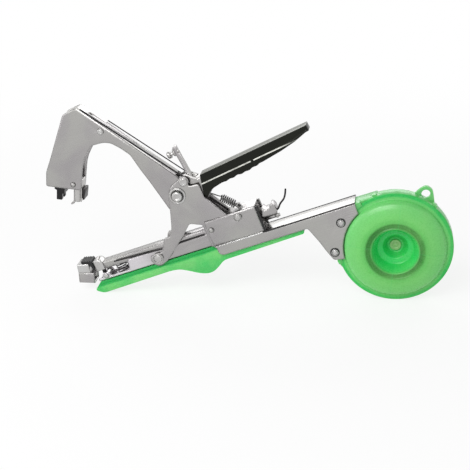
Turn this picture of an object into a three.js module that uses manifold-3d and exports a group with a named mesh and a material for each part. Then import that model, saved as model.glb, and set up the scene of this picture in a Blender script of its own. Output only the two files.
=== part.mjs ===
import * as THREE from 'three';
import { mergeVertices } from 'three/addons/utils/BufferGeometryUtils.js';
import Module from 'manifold-3d';

const wasm = await Module();
wasm.setup();

// A plant tying tool, in millimetres, standing as it does on a table: +Z up, x from the jaw to the
// tape reel, y across. Everything is laid out in the lower arm's own frame, which leans back by
// armSlope: x runs along the arm from its front end, z square to it, y across.
const armSlope = THREE.MathUtils.degToRad(19.26);

// Fits shared by the whole tool.
const seatGap = 0.3;
const pinGap = 0.3;
const overrun = 40;
const bendRadius = 1.8;
const armSheet = 1.2;

// Lower arm: a channel with its web at the bottom.
const baseLength = 156.4;
const baseWidth = 14.6;
const baseHeight = 12;
const baseLip = 2.6;
const springWindow = 31;
const windowSlant = 2;

// Post plates either side of the channel, which carry the jaw and the handle.
const postSheet = 1.4;
const postLength = 50;
const mainBoltShare = 0.6343;
const mainBoltX = baseLength * mainBoltShare;
const legRivetStep = 38.8;
const legRivetX = mainBoltX - legRivetStep;
const legRivetZ = 5.2;
const legLobe = 7;
const postFoot = 0.3;
const mainBoltZ = 52.8;
const mainBoltRadius = 2.5;
const boltHeadRadius = 4.6;
const boltHeadHeight = 2.2;
const washerRadius = 7.3;
const washerThickness = 0.9;
const handlePinStep = 9.6;
const handlePinRise = 10;
const handlePinX = mainBoltX + handlePinStep;
const handlePinZ = mainBoltZ + handlePinRise;
const handlePinRadius = 2;
const handlePinHead = 3.9;
const earRadius = 4.6;
const pinHeadHeight = 1.3;

// Rear box over the arm, and the rail under it that carries the reel.
const boxSheet = 0.9;
const boxEndShare = 1.33;
const sealWidth = 1.7;
const boxStep = 12.6;
const boxStart = mainBoltX + boxStep;
const boxEnd = baseLength + armSheet * boxEndShare;
const boxHeight = 23.9;
const boxWebShare = 0.85;
const boxWebStart = baseLength * boxWebShare;
const boxWindow = 4;
const boxRivetShare = 0.903;
const boxRivetX = baseLength * boxRivetShare;
const boxRivetZ = 18.9;
const boxRivetHead = 3.6;
const tiltHeadShare = 0.62;
const tiltPinStep = 16;
const tiltPinX = mainBoltX + tiltPinStep;
const tiltPinZ = 14.9;
const rivetRadius = 1.4;
const rivetHeadHeight = 1.1;
const railStep = 14.3;
const railStart = mainBoltX + railStep;
const railDepth = 9.5;
const railCorner = 5;
const flareStart = 193.4;
const caseOverlap = 4.7;
const caseScrewRadius = 1.5;
const caseScrewHead = 3.1;

// Green moulded grip under the arm, grooved along its top for the tape.
const gripStart = -6.4;
const gripEnd = 189.5;
const gripDepth = 10.6;
const gripNeckDepth = 3;
const gripBulge = 22.3;
const gripRearDepth = 13.4;
const grooveDepth = 4.6;
const grooveShare = 0.795;
const grooveWidth = baseWidth * grooveShare;

// Tape reel: case, cover, spindle and roll. The rail's flare, its screws and the reel's centre keep
// their places round the reel as it grows.
const reelRadius = 47.8;
const railEndShare = 0.937;
const flareDepthShare = 0.944;
const screwShares = [
  [0.596, 0.28], [0.31, 0.774],
];
const reelShares = [1.331, 1.031];
const caseWall = 1.5;
const rimWall = 1.7;
const rimStep = 0.6;
const backSlope = 5.4;
const coverRise = 9.8;
const eyeDistance = 50.9;
const eyeTurn = THREE.MathUtils.degToRad(42.4);
const eyeRadius = 6.2;
const eyeHole = 3.6;
const eyeThickness = 3;
const hubRadius = 16.6;
const hubWall = 1.6;
const bossRadius = 4.4;
const spindleRadius = 2;
const spindleHead = 4.7;
const spindleHeadHeight = 1.4;
const coreWall = 1.8;
const rollShare = 0.76;
const tapeShare = 0.753;
const tapeWidth = baseWidth * tapeShare;
const coverLip = 1.6;
const nubWidth = 4;
const nubReach = 1.4;
const nubTurns = [-92, -30].map(THREE.MathUtils.degToRad);
const tapeSlot = 6.6;

// Jaw: a folded arm whose web is its outer edge.
const jawSheet = 1.2;
const jawLength = 100;
const jawBoss = 10;
const jawClearRound = 8.4;
const jawRivetShares = [0.404, 0.735];
const jawRivetX = mainBoltX - jawLength * jawRivetShares[0];
const jawRivetZ = mainBoltZ + jawLength * jawRivetShares[1];
const jawRivetHead = 2.8;
const webHoleRadius = 1.9;
const headTurn = THREE.MathUtils.degToRad(-26.2);
const headShares = [1.064, 0.45];
const headX = mainBoltX - jawLength * headShares[0];
const headZ = mainBoltZ + jawLength * headShares[1];
const headPlaceShares = [0.113, 0.272, 0.306, 0.327, 0.233];
const headPlaces = headPlaceShares.map((share) => jawLength * share);
const [catchPlace, anvilPlace, holderPlace, bladePlace, clipPlace] = headPlaces;
const catchLength = 4.8;
const catchDrop = 11.5;
const catchRoot = 7;
const catchFlange = 2;
const anvilLengthShare = 0.048;
const anvilLength = jawLength * anvilLengthShare;
const anvilDrop = 11.6;
const anvilRoot = 9;
const anvilGroove = 0.8;
const anvilNotchShare = 1.6;
const holderSheetShare = 0.012;
const holderSheet = jawLength * holderSheetShare;
const holderRoot = 9;
const holderDrop = 11.2;
const bladeLengthShare = 0.022;
const bladeLength = jawLength * bladeLengthShare;
const bladeDrop = 9;
const clipSheet = 0.9;
const clipWidth = 6;
const clipDrop = 15;
const clipRise = 4.2;
const clipHook = 2.6;
const clipEye = 1.7;
const clipPinRadius = 0.8;
const clipPinHead = 2.3;

// Handle: a folded lever, its stop tab and screw, and the dipped grip over it.
const handleTurn = THREE.MathUtils.degToRad(6.3);
const leverSheet = 1.2;
const leverGap = 0.4;
const leverEnd = 108;
const leverTop = -2.7;
const leverBoss = 5;
const leverLength = 100;
const driveRadius = 1.2;
const driveShare = 0.58;
const handleTravel = THREE.MathUtils.degToRad(23);
const driveLobe = 2.4;
const driveStart = 4.3;
const tabPlace = 4.7;
const tabSheet = 1.6;
const tabTop = 29.2;
const tabShare = 0.8;
const stopScrewZ = 24;
const stopScrewRadius = 1.5;
const stopScrewReach = 8.2;
const stopHeadRadius = 3.2;
const stopHeadLength = 3;
const nutFlat = 2.9;
const nutHeight = 2.2;
const gripWall = 1.2;
const gripBack = 114.7;
const gripFront = 15;
const springPinX = 12.9;
const springPinZ = -18.5;
const springPinRadius = 1.1;

// Return spring, from the lever's tip to a stud on the box.
const springWire = 0.5;
const springCoil = 3.5;
const springTurns = 8;
const springPitch = 1.6;
const anchorStep = 44;
const anchorX = mainBoltX + anchorStep;
const anchorRadius = 1.2;
const anchorHead = 2.3;
const anchorHeight = 3.1;
const springLevel = 25.2;

// Magazine: a channel that tilts about the pin in the box.
const magSheet = 0.8;
const magEndShare = 0.75;
const magStart = 9.4;
const magEnd = baseLength + magSheet * magEndShare;
const magBottom = 9.5;
const magTop = 16;
const magCover = 0.7;
const noseLength = 8;
const noseTop = 19.4;
const noseSlot = 1.4;
const bladeSheet = 0.7;
const strokeTop = 13.2;
const blockLength = 16.2;
const blockBottom = 11.7;
const blockTop = 16.4;
const tabRise = 3;
const stapleLength = 48;
const stapleHeight = 3.6;
const stapleWire = 0.6;
const stapleSide = 1.2;
const pusherLength = 8;
const pullRadius = 0.8;
const pullZ = 11.6;
const hookLength = 12.4;
const hookRise = 14.6;
const rearRodZ = 6.9;
const rearRodRadius = 1.7;
const rearRodLength = 29.8;
const rearRodInside = 12.4;
const ringRadius = 2.3;
const ringLength = 1.6;

// Front of the arm.
const frontReach = 19.3;
const frontSheet = 1;
const blockSheet = 1;
const padShare = 0.8;
const liftWire = 0.45;
const liftTurns = 4;
const liftPlace = 23.4;
const lugX = 8.2;
const lugZ = 3.9;
const lugRadius = 2.8;
const holderLength = 8;
const holderRise = 1;

// Derived widths, from the arm outward.
const postInner = baseWidth / 2 + seatGap;
const postOuter = postInner + postSheet;
const boxInner = postOuter + seatGap;
const boxOuter = boxInner + boxSheet;
const railInner = boxOuter - armSheet;
const caseHalf = railInner - seatGap;
const baseInner = baseWidth / 2 - armSheet;
const magHalf = baseInner - seatGap;
const jawHalf = baseWidth / 2;
const jawInner = jawHalf - jawSheet;
const leverHalf = jawInner - leverGap;
const gripInner = leverHalf + seatGap;
const gripHalf = gripInner + gripWall;
const catchWidth = (jawInner - seatGap) * 2;
const stapleWidth = (magHalf - magSheet - stapleSide) * 2;
const liftCoil = baseInner - liftWire - seatGap * 1.2;
const railEnd = flareStart + reelRadius * railEndShare;
const flareDepth = reelRadius * flareDepthShare;
const [upperScrewX, lowerScrewX] = screwShares.map(([along]) => flareStart + reelRadius * along);
const [upperScrewZ, lowerScrewZ] = screwShares.map(([, down]) => -reelRadius * down);
const reelX = flareStart + reelRadius * reelShares[0];
const reelZ = -reelRadius * reelShares[1];
const rimFace = -caseHalf + rimStep;
const rollRadius = reelRadius * rollShare;
const rearRodStart = baseLength - rearRodInside;
const rearRodEnd = rearRodStart + rearRodLength;

// Booleans on closed meshes.
function toSolid(geometry) {
  const bare = geometry.index ? geometry.toNonIndexed() : geometry.clone();
  bare.deleteAttribute('normal');
  bare.deleteAttribute('uv');
  const merged = mergeVertices(bare, 1e-4);
  return new wasm.Manifold(new wasm.Mesh({
    numProp: 3,
    vertProperties: new Float32Array(merged.attributes.position.array),
    triVerts: new Uint32Array(merged.index.array),
  }));
}

function toGeometry(solid) {
  const mesh = solid.getMesh();
  const geometry = new THREE.BufferGeometry();
  geometry.setAttribute('position', new THREE.BufferAttribute(new Float32Array(mesh.vertProperties), 3));
  geometry.setIndex(new THREE.BufferAttribute(new Uint32Array(mesh.triVerts), 1));
  return geometry;
}

function join(...geometries) {
  return toGeometry(geometries.map(toSolid).reduce((whole, next) => whole.add(next)));
}

function cut(geometry, ...cutters) {
  return toGeometry(cutters.map(toSolid).reduce((whole, next) => whole.subtract(next), toSolid(geometry)));
}

function meet(first, second) {
  return toGeometry(toSolid(first).intersect(toSolid(second)));
}

// A shape whose corners are eased by a radius; a corner may bring its own as a third number.
function easedShape(outline, radius = 0) {
  const shape = new THREE.Shape();
  const corners = outline.map(([x, y]) => new THREE.Vector2(x, y));
  const points = THREE.ShapeUtils.isClockWise(corners) ? [...outline].reverse() : outline;
  points.forEach((point, index) => {
    const before = points[(index + points.length - 1) % points.length];
    const after = points[(index + 1) % points.length];
    const corner = new THREE.Vector2(point[0], point[1]);
    const toBefore = new THREE.Vector2(before[0], before[1]).sub(corner);
    const toAfter = new THREE.Vector2(after[0], after[1]).sub(corner);
    const wanted = point[2] ?? radius;
    const reach = Math.min(wanted, toBefore.length() / 2, toAfter.length() / 2);
    if (reach === 0) {
      if (index === 0) shape.moveTo(corner.x, corner.y);
      else shape.lineTo(corner.x, corner.y);
      return;
    }
    const start = corner.clone().add(toBefore.setLength(reach));
    const end = corner.clone().add(toAfter.setLength(reach));
    if (index === 0) shape.moveTo(start.x, start.y);
    else shape.lineTo(start.x, start.y);
    shape.quadraticCurveTo(corner.x, corner.y, end.x, end.y);
  });
  return shape;
}

// A round hole as a many-sided path whose flats, not its corners, lie at the radius.
function circlePath(x, z, radius, sides = 14) {
  const path = new THREE.Path();
  const corner = radius / Math.cos(Math.PI / sides);
  for (let step = 0; step < sides; step += 1) {
    const angle = (-2 * Math.PI * step) / sides;
    const spot = [x + corner * Math.cos(angle), z + corner * Math.sin(angle)];
    if (step === 0) path.moveTo(...spot);
    else path.lineTo(...spot);
  }
  return path;
}

// A plate standing in the side view, from across - width / 2 to across + width / 2. Its holes are
// cut after it is extruded.
function sidePlate(shape, width, across = 0, curveSegments = 3) {
  const extrude = (points, depth) => {
    const geometry = new THREE.ExtrudeGeometry(new THREE.Shape(points), { depth, bevelEnabled: false });
    geometry.rotateX(Math.PI / 2);
    geometry.translate(0, across + depth / 2, 0);
    return geometry;
  };
  const plate = extrude(shape.getPoints(curveSegments), width);
  const holes = shape.holes.map((hole) => extrude(hole.getPoints(), width + overrun));
  return holes.length > 0 ? cut(plate, ...holes) : plate;
}

// A disc or bar across the tool.
function crossBar(radius, width, x, z, across = 0, segments = 20) {
  const geometry = new THREE.CylinderGeometry(radius, radius, width, segments);
  geometry.translate(x, across, z);
  return geometry;
}

function block(xFrom, xTo, yFrom, yTo, zFrom, zTo) {
  const geometry = new THREE.BoxGeometry(xTo - xFrom, yTo - yFrom, zTo - zFrom);
  geometry.translate((xFrom + xTo) / 2, (yFrom + yTo) / 2, (zFrom + zTo) / 2);
  return geometry;
}

// A sheet folded to a U: its section, with round bends, runs along the web line and is trimmed to a
// side outline. The legs point to the left of the way from start to end when turn is 1.
function foldedSheet(shape, start, end, legs, width, sheet, turn, bend = bendRadius) {
  const half = width / 2;
  const inner = half - sheet;
  const innerBend = Math.max(bend - sheet, sheet / 4);
  const section = easedShape([
    [-half, 0, bend], [half, 0, bend], [half, legs], [inner, legs],
    [inner, sheet, innerBend], [-inner, sheet, innerBend], [-inner, legs], [-half, legs],
  ]);
  const along = new THREE.Vector3(end[0] - start[0], 0, end[1] - start[1]);
  const length = along.length();
  along.normalize();
  const inward = new THREE.Vector3(-along.z * turn, 0, along.x * turn);
  const across = new THREE.Vector3().crossVectors(inward, along);
  const run = new THREE.ExtrudeGeometry(section, { depth: length, bevelEnabled: false, curveSegments: 3 });
  run.applyMatrix4(new THREE.Matrix4().makeBasis(across, inward, along));
  run.translate(start[0], 0, start[1]);
  return meet(run, sidePlate(shape, width + overrun));
}

// A round pin across the tool with a low domed head at each end.
function rivet(shank, head, half, height) {
  const outer = half + seatGap;
  const profile = [
    [0, -outer - height], [head * 0.6, -outer - height], [head, -outer - height / 3], [head, -outer],
    [shank, -outer], [shank, outer], [head, outer], [head, outer + height / 3],
    [head * 0.6, outer + height], [0, outer + height],
  ];
  return turned(profile, 14);
}

function turned(profile, segments = 24) {
  const points = profile.map(([radius, place]) => new THREE.Vector2(radius, place));
  return new THREE.LatheGeometry(points, segments);
}

// An unbroken tube through a list of points, its section carried along without twist.
function wireTube(points, radius, sides) {
  const vertices = [];
  const faces = [];
  const direction = new THREE.Vector3();
  const side = new THREE.Vector3();
  points.forEach((point, index) => {
    const before = points[Math.max(index - 1, 0)];
    const after = points[Math.min(index + 1, points.length - 1)];
    direction.subVectors(after, before).normalize();
    if (index === 0) {
      side.set(0, 1, 0);
      if (Math.abs(direction.y) > 0.9) side.set(1, 0, 0);
    }
    side.addScaledVector(direction, -side.dot(direction)).normalize();
    const up = new THREE.Vector3().crossVectors(direction, side);
    for (let corner = 0; corner < sides; corner += 1) {
      const angle = (2 * Math.PI * corner) / sides;
      const spot = point.clone().addScaledVector(side, radius * Math.cos(angle));
      spot.addScaledVector(up, radius * Math.sin(angle));
      vertices.push(spot.x, spot.y, spot.z);
    }
  });
  for (let ring = 0; ring < points.length - 1; ring += 1) {
    for (let corner = 0; corner < sides; corner += 1) {
      const next = (corner + 1) % sides;
      const low = ring * sides;
      const high = low + sides;
      faces.push(low + corner, low + next, high + next, low + corner, high + next, high + corner);
    }
  }
  const last = (points.length - 1) * sides;
  for (let corner = 1; corner < sides - 1; corner += 1) {
    faces.push(0, corner + 1, corner, last, last + corner, last + corner + 1);
  }
  const geometry = new THREE.BufferGeometry();
  geometry.setAttribute('position', new THREE.Float32BufferAttribute(vertices, 3));
  geometry.setIndex(faces);
  return geometry;
}

// The least gap between turns, measured between points at least half a turn apart along the wire.
function printGap(name, points, radius, pointsPerTurn) {
  let least = Infinity;
  points.forEach((point, index) => {
    for (let other = index + Math.ceil(pointsPerTurn / 2); other < points.length; other += 1) {
      least = Math.min(least, point.distanceTo(points[other]));
    }
  });
  console.log(`${name}: least gap to itself ${(least - 2 * radius).toFixed(2)} mm`);
}

const colours = {
  steel: [0x9f9d9b, 0.35, 0.9],
  bright: [0xc8c8ca, 0.2, 1],
  dark: [0x3a3a3a, 0.5, 0.6],
  black: [0x191c12, 0.25, 0],
  green: [0x32be5a, 0.35, 0],
  clear: [0x78d278, 0.25, 0],
  tape: [0x8fd68a, 0.5, 0],
  beige: [0xd8cfa8, 0.5, 0],
};

function piece(name, geometry, colour, parent) {
  const [color, roughness, metalness] = colours[colour];
  const material = new THREE.MeshStandardMaterial({ color, roughness, metalness });
  const mesh = new THREE.Mesh(geometry, material);
  mesh.name = name;
  parent.add(mesh);
  return mesh;
}

const tool = new THREE.Group();
const arm = new THREE.Group();
arm.rotation.y = -armSlope;
tool.add(arm);

// Lower arm channel: full walls behind the spring window, a low lip in front of it.
function baseChannel() {
  const outline = easedShape([
    [0, 0], [baseLength, 0], [baseLength, baseHeight, bendRadius],
    [springWindow + windowSlant, baseHeight, bendRadius], [springWindow, baseLip],
    [lugX + lugRadius * 1.5, baseLip], [lugX + lugRadius, lugZ + lugRadius, bendRadius],
    [lugX - lugRadius, lugZ + lugRadius, bendRadius], [lugX - lugRadius * 1.5, baseLip], [0, baseLip],
  ]);
  outline.holes.push(circlePath(legRivetX, legRivetZ, rivetRadius + pinGap));
  outline.holes.push(circlePath(lugX, lugZ, rivetRadius + pinGap));
  return foldedSheet(outline, [0, 0], [baseLength, 0], overrun, baseWidth, armSheet, 1);
}

// One post plate, given as shares of postLength back from the main bolt and up from the arm's floor.
// It stands on a front leg and, inside the box, on a broad rear foot, with an open triangle between.
const postFrontShares = [
  [-0.228, 0.842], [-0.33, 0.548], [-0.42, 0.404], [-0.522, 0.416], [-0.552, 0.38], [-0.649, 0.19],
];
const postHoleShares = [
  [-0.632, 0.01], [-0.28, 0.282], [-0.156, 0.38], [0, 0.522], [0.206, 0.432], [0.212, 0.302],
];
const postRearShares = [
  [0.624, 0.548], [0.46, 0.832], [0.426, 0.88], [0.422, 1.138], [0.266, 1.15],
];
const postBackShare = 0.676;
const postShoulderShares = [
  [-0.054, 1.24], [-0.164, 1.07],
];
function postPlate(side) {
  const scaled = (shares) => shares.map(([x, z]) => [
    mainBoltX + x * postLength, z * postLength, bendRadius,
  ]);
  const lobeFrom = Math.PI * 0.86;
  const lobeTo = Math.PI * 1.7;
  const lobe = [0, 1, 2, 3, 4, 5].map((step) => {
    const angle = lobeFrom + ((lobeTo - lobeFrom) * step) / 5;
    return [legRivetX + legLobe * Math.cos(angle), legRivetZ + legLobe * Math.sin(angle)];
  });
  const ear = [0, 1, 2, 3, 4, 5, 6].map((step) => {
    const angle = -Math.PI * 0.3 + (Math.PI * 1.1 * step) / 6;
    return [handlePinX + earRadius * Math.cos(angle), handlePinZ + earRadius * Math.sin(angle)];
  });
  const footLeft = mainBoltX + postHoleShares[5][0] * postLength;
  const footRight = mainBoltX + postBackShare * postLength;
  const outline = easedShape([
    ...scaled(postFrontShares), ...lobe, ...scaled(postHoleShares),
    [footLeft, postFoot], [footRight, postFoot],
    [footRight, boxHeight - boxSheet - seatGap], ...scaled(postRearShares), ...ear,
    ...scaled(postShoulderShares),
  ]);
  outline.holes.push(circlePath(legRivetX, legRivetZ, rivetRadius + pinGap));
  outline.holes.push(circlePath(mainBoltX, mainBoltZ, mainBoltRadius + pinGap));
  outline.holes.push(circlePath(handlePinX, handlePinZ, handlePinRadius + pinGap));
  outline.holes.push(circlePath(tiltPinX, tiltPinZ, rivetRadius + pinGap));
  return sidePlate(outline, postSheet, (side * (postInner + postOuter)) / 2);
}

// Rear box: an inverted channel over arm and post, its top open in front where the posts rise.
function rearBox() {
  const outline = easedShape([
    [boxStart, seatGap / 4], [boxEnd, seatGap / 4], [boxEnd, boxHeight], [boxStart, boxHeight],
  ]);
  outline.holes.push(circlePath(boxRivetX, boxRivetZ, rivetRadius + pinGap));
  outline.holes.push(circlePath(tiltPinX, tiltPinZ, rivetRadius + pinGap));
  const [webFrom, webTo] = [[boxEnd, boxHeight], [boxStart, boxHeight]];
  const box = foldedSheet(outline, webFrom, webTo, overrun, boxOuter * 2, boxSheet, 1);
  const windowTop = boxHeight + overrun;
  const windowFrom = boxStart - overrun;
  const front = block(windowFrom, boxWebStart, -boxInner, boxInner, boxHeight - boxWindow, windowTop);
  const studHole = new THREE.CylinderGeometry(anchorRadius + pinGap, anchorRadius + pinGap, overrun, 16);
  studHole.rotateX(Math.PI / 2);
  studHole.translate(anchorX, 0, boxHeight);
  return cut(box, front, studHole);
}

// Rail: an inverted channel whose legs flare down at the rear into the plates that hold the reel.
// The rear edge of the plates follows the reel's rim.
const plateArc = [112.5, 174.5].map(THREE.MathUtils.degToRad);
const flareFrontShares = [
  [0.03, 0.27], [0.13, 0.55], [0.18, 0.73], [0.26, 0.96],
];
function railChannel() {
  const rearReach = railEnd - flareStart;
  const edgeRadius = reelRadius - caseOverlap;
  const rimArc = [0, 1, 2, 3, 4, 5, 6, 7, 8].map((step) => {
    const angle = plateArc[1] + ((plateArc[0] - plateArc[1]) * step) / 8;
    return [reelX + edgeRadius * Math.cos(angle), reelZ + edgeRadius * Math.sin(angle)];
  });
  const front = flareFrontShares.map(([x, z]) => [flareStart + x * rearReach, -z * flareDepth, bendRadius]);
  const outline = easedShape([
    [railStart, -seatGap], [railStart, -railDepth, railCorner], [flareStart, -railDepth, bendRadius],
    ...front, ...rimArc, [railEnd, -seatGap],
  ]);
  outline.holes.push(circlePath(upperScrewX, upperScrewZ, caseScrewRadius + pinGap));
  outline.holes.push(circlePath(lowerScrewX, lowerScrewZ, caseScrewRadius + pinGap));
  return foldedSheet(
    outline, [railEnd, -seatGap], [railStart, -seatGap], flareDepth + overrun, boxOuter * 2, armSheet, 1,
  );
}

// Under-grip: a narrow neck under the arm, a wider body with a bulge that stops the hand.
const bulgeShares = [
  [0.663, 0.43], [0.744, 0.48], [0.823, 0.67], [0.899, 0.88], [0.975, 1], [1.034, 0.97], [1.093, 0.82],
  [1.148, 0.66],
];
function underGrip() {
  const top = -seatGap;
  const rearTop = -armSheet - 2 * seatGap;
  const bulge = bulgeShares.map(([x, z]) => [x * postLength * 2, -z * gripBulge, gripNeckDepth]);
  const body = easedShape([
    [gripEnd, rearTop], [railStart - overrun, rearTop], [railStart - overrun, -gripNeckDepth],
    [gripStart + gripNeckDepth, -gripNeckDepth, bendRadius], [gripStart, -gripNeckDepth * 2, bendRadius],
    [0, -gripDepth, gripNeckDepth], ...bulge, [gripEnd, -gripRearDepth, bendRadius],
  ]);
  const neck = easedShape([
    [gripStart + gripNeckDepth, -gripNeckDepth - seatGap], [railStart - seatGap, -gripNeckDepth - seatGap],
    [railStart - seatGap, top], [seatGap, top],
  ]);
  const rearHalf = railInner - seatGap * 2;
  const wide = sidePlate(body, rearHalf * 2);
  const shoulder = block(-overrun, railStart - seatGap, -overrun, overrun, -gripNeckDepth, overrun);
  const narrow = sidePlate(neck, baseWidth);
  const grooveHalf = grooveWidth / 2;
  const groove = block(-overrun, gripEnd + overrun, -grooveHalf, grooveHalf, -grooveDepth, overrun);
  return cut(join(cut(wide, shoulder), narrow), groove);
}

piece('base_channel', baseChannel(), 'steel', arm);
piece('post_plate_near', postPlate(-1), 'steel', arm);
piece('post_plate_far', postPlate(1), 'steel', arm);
piece('rear_box', rearBox(), 'steel', arm);
[['near', -1], ['far', 1]].forEach(([name, side]) => {
  const [from, to] = [side * boxOuter, side * (boxInner - boxSheet)].sort((first, second) => first - second);
  const start = boxEnd + seatGap;
  piece(`box_seal_${name}`, block(start, start + sealWidth, from, to, 0, boxHeight - boxSheet), 'dark', arm);
});
piece('rail', railChannel(), 'steel', arm);
piece('under_grip', underGrip(), 'green', arm);

// Reel case: a tub open toward the viewer, with a neck between the rail's plates, a hub for the
// roll and a hanging eye.
function rimCylinder(radius, from, to, segments = 56) {
  return crossBar(radius, to - from, 0, 0, (from + to) / 2, segments);
}

const neckShares = [
  [-0.98, 0.13], [-1.045, 0.1], [-1.03, -0.02], [-0.985, -0.13], [-0.93, -0.32],
];
function reelCase() {
  const front = rimFace + caseWall + seatGap;
  const slopeStart = caseHalf - backSlope;
  const tub = turned([
    [0, front], [reelRadius, front], [reelRadius, slopeStart], [reelRadius - backSlope, caseHalf],
    [0, caseHalf],
  ], 56);
  const cavity = turned([
    [0, -overrun], [reelRadius - rimWall, -overrun], [reelRadius - rimWall, slopeStart - caseWall / 2],
    [reelRadius - rimWall - backSlope, caseHalf - caseWall], [0, caseHalf - caseWall],
  ], 56);
  const neckTop = -armSheet - 2 * seatGap - reelZ;
  const neckShape = easedShape([
    [0, 0], [0, neckTop - seatGap], [railEnd - reelX, neckTop],
    [flareStart + railCorner + seatGap - reelX, neckTop, bendRadius],
    ...neckShares.map(([x, z]) => [x * reelRadius, z * reelRadius, bendRadius]),
  ]);
  const neck = sidePlate(neckShape, caseHalf * 2);
  const trimmed = reelRadius - caseOverlap - seatGap;
  const coverRoom = join(rimCylinder(trimmed, -overrun, front), coverSweep(seatGap, -overrun, front));
  const eyeX = eyeDistance * Math.cos(eyeTurn);
  const eyeZ = eyeDistance * Math.sin(eyeTurn);
  const eyeShape = easedShape([
    [eyeX - eyeRadius * 2.4, eyeZ, 0], [eyeX - eyeRadius * 0.5, eyeZ + eyeRadius * 0.95, eyeRadius],
    [eyeX + eyeRadius * 0.45, eyeZ + eyeRadius * 1.1, eyeRadius],
    [eyeX + eyeRadius * 1.05, eyeZ + eyeRadius * 0.3, eyeRadius],
    [eyeX + eyeRadius * 0.6, eyeZ - eyeRadius * 2, 0], [eyeX - eyeRadius, eyeZ - eyeRadius * 2.2, 0],
  ]);
  eyeShape.holes.push(circlePath(eyeX, eyeZ, eyeHole));
  const eye = sidePlate(eyeShape, eyeThickness, slopeStart - eyeThickness / 2);
  const nubs = nubTurns.map((turn) => {
    const [from, to] = [reelRadius - rimWall, reelRadius + nubReach];
    return block(from, to, front + seatGap, 0, -nubWidth / 2, nubWidth / 2).rotateY(turn);
  });
  const slot = block(
    -overrun * 2, 0, -tapeWidth / 2 - seatGap, tapeWidth / 2 + seatGap,
    reelRadius - rimWall - tapeSlot - caseWall, reelRadius - rimWall - caseWall,
  );
  const hubFront = rimFace + hubRecess;
  const hub = rimCylinder(hubRadius, hubFront, caseHalf - caseWall / 2, 32);
  const hubHollow = rimCylinder(hubRadius - hubWall, -overrun, caseHalf - caseWall, 32);
  const boss = rimCylinder(bossRadius, recessFloor + caseWall + seatGap, caseHalf - caseWall / 2, 20);
  const bore = rimCylinder(spindleRadius + pinGap, -overrun, caseHalf - caseWall, 16);
  const holes = [[upperScrewX, upperScrewZ], [lowerScrewX, lowerScrewZ]].map(([x, z]) => (
    crossBar(caseScrewRadius + pinGap, overrun, x - reelX, z - reelZ, 0, 12)
  ));
  const shell = cut(join(tub, neck, eye, ...nubs), cavity, slot, ...holes, coverRoom);
  return cut(join(shell, cut(hub, hubHollow), boss), bore);
}

// The part of the cover's disc that the rail's plates leave free, grown by a gap.
const sweepArc = [107, 180].map(THREE.MathUtils.degToRad);
function coverSweep(gap, from, to) {
  const disc = rimCylinder(reelRadius + (gap > 0 ? overrun : 0), from, to);
  const plateFrom = sweepArc[0] + gap / reelRadius;
  const plateTo = sweepArc[1] - gap / reelRadius;
  const middle = (plateFrom + plateTo) / 2;
  const far = reelRadius * 4;
  const sector = easedShape([
    [0, 0], [far * Math.cos(plateFrom), far * Math.sin(plateFrom)],
    [far * Math.cos(middle), far * Math.sin(middle)], [far * Math.cos(plateTo), far * Math.sin(plateTo)],
  ]);
  return cut(disc, sidePlate(sector, overrun * 4));
}

// Cover: a domed disc with a deep stepped recess over the hub, turned, and a lip that centres it in
// the rim. Its profile is given as shares of reelRadius outward and of coverRise toward the viewer.
const coverOuterShares = [
  [0, -0.735], [0.138, -0.735], [0.155, -0.63], [0.205, -0.32], [0.222, -0.2], [0.301, -0.11],
  [0.322, -0.03],
  [0.343, 0.22], [0.385, 0.73], [0.406, 0.95], [0.423, 1], [0.439, 0.93], [0.494, 0.93], [0.51, 1],
  [0.596, 0.96], [0.69, 0.855], [0.774, 0.7], [0.838, 0.52], [0.872, 0.33], [0.886, 0.17], [0.893, 0],
];
const coverInnerShares = [
  [0.878, -0.155], [0.864, -0.02], [0.853, 0.13], [0.842, 0.26], [0.812, 0.4], [0.757, 0.56], [0.68, 0.7],
  [0.59, 0.8], [0.5, 0.825], [0.436, 0.82], [0.418, 0.7], [0.376, 0.18], [0.352, -0.13], [0.314, -0.26],
  [0.245, -0.33], [0.232, -0.43], [0.188, -0.77], [0.176, -0.89], [0, -0.89],
];
const recessFloor = rimFace + coverRise * 0.735;
const hubRecess = coverRise * 0.33;
function reelCover() {
  const back = rimFace + caseWall;
  const place = ([out, rise]) => [reelRadius * out, rimFace - coverRise * rise];
  const lip = reelRadius - rimWall - seatGap;
  const whole = turned([
    ...coverOuterShares.map(place), [reelRadius, rimFace], [reelRadius, back], [lip, back],
    [lip, back + coverLip], [lip - rimWall, back + coverLip], [lip - rimWall, back],
    ...coverInnerShares.map(place),
  ], 56);
  const middle = rimCylinder(reelRadius - caseOverlap - seatGap * 2, -overrun, overrun);
  const bore = rimCylinder(spindleRadius + pinGap, -overrun, overrun, 16);
  return cut(meet(whole, join(middle, coverSweep(0, -overrun, overrun))), bore);
}

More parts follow.
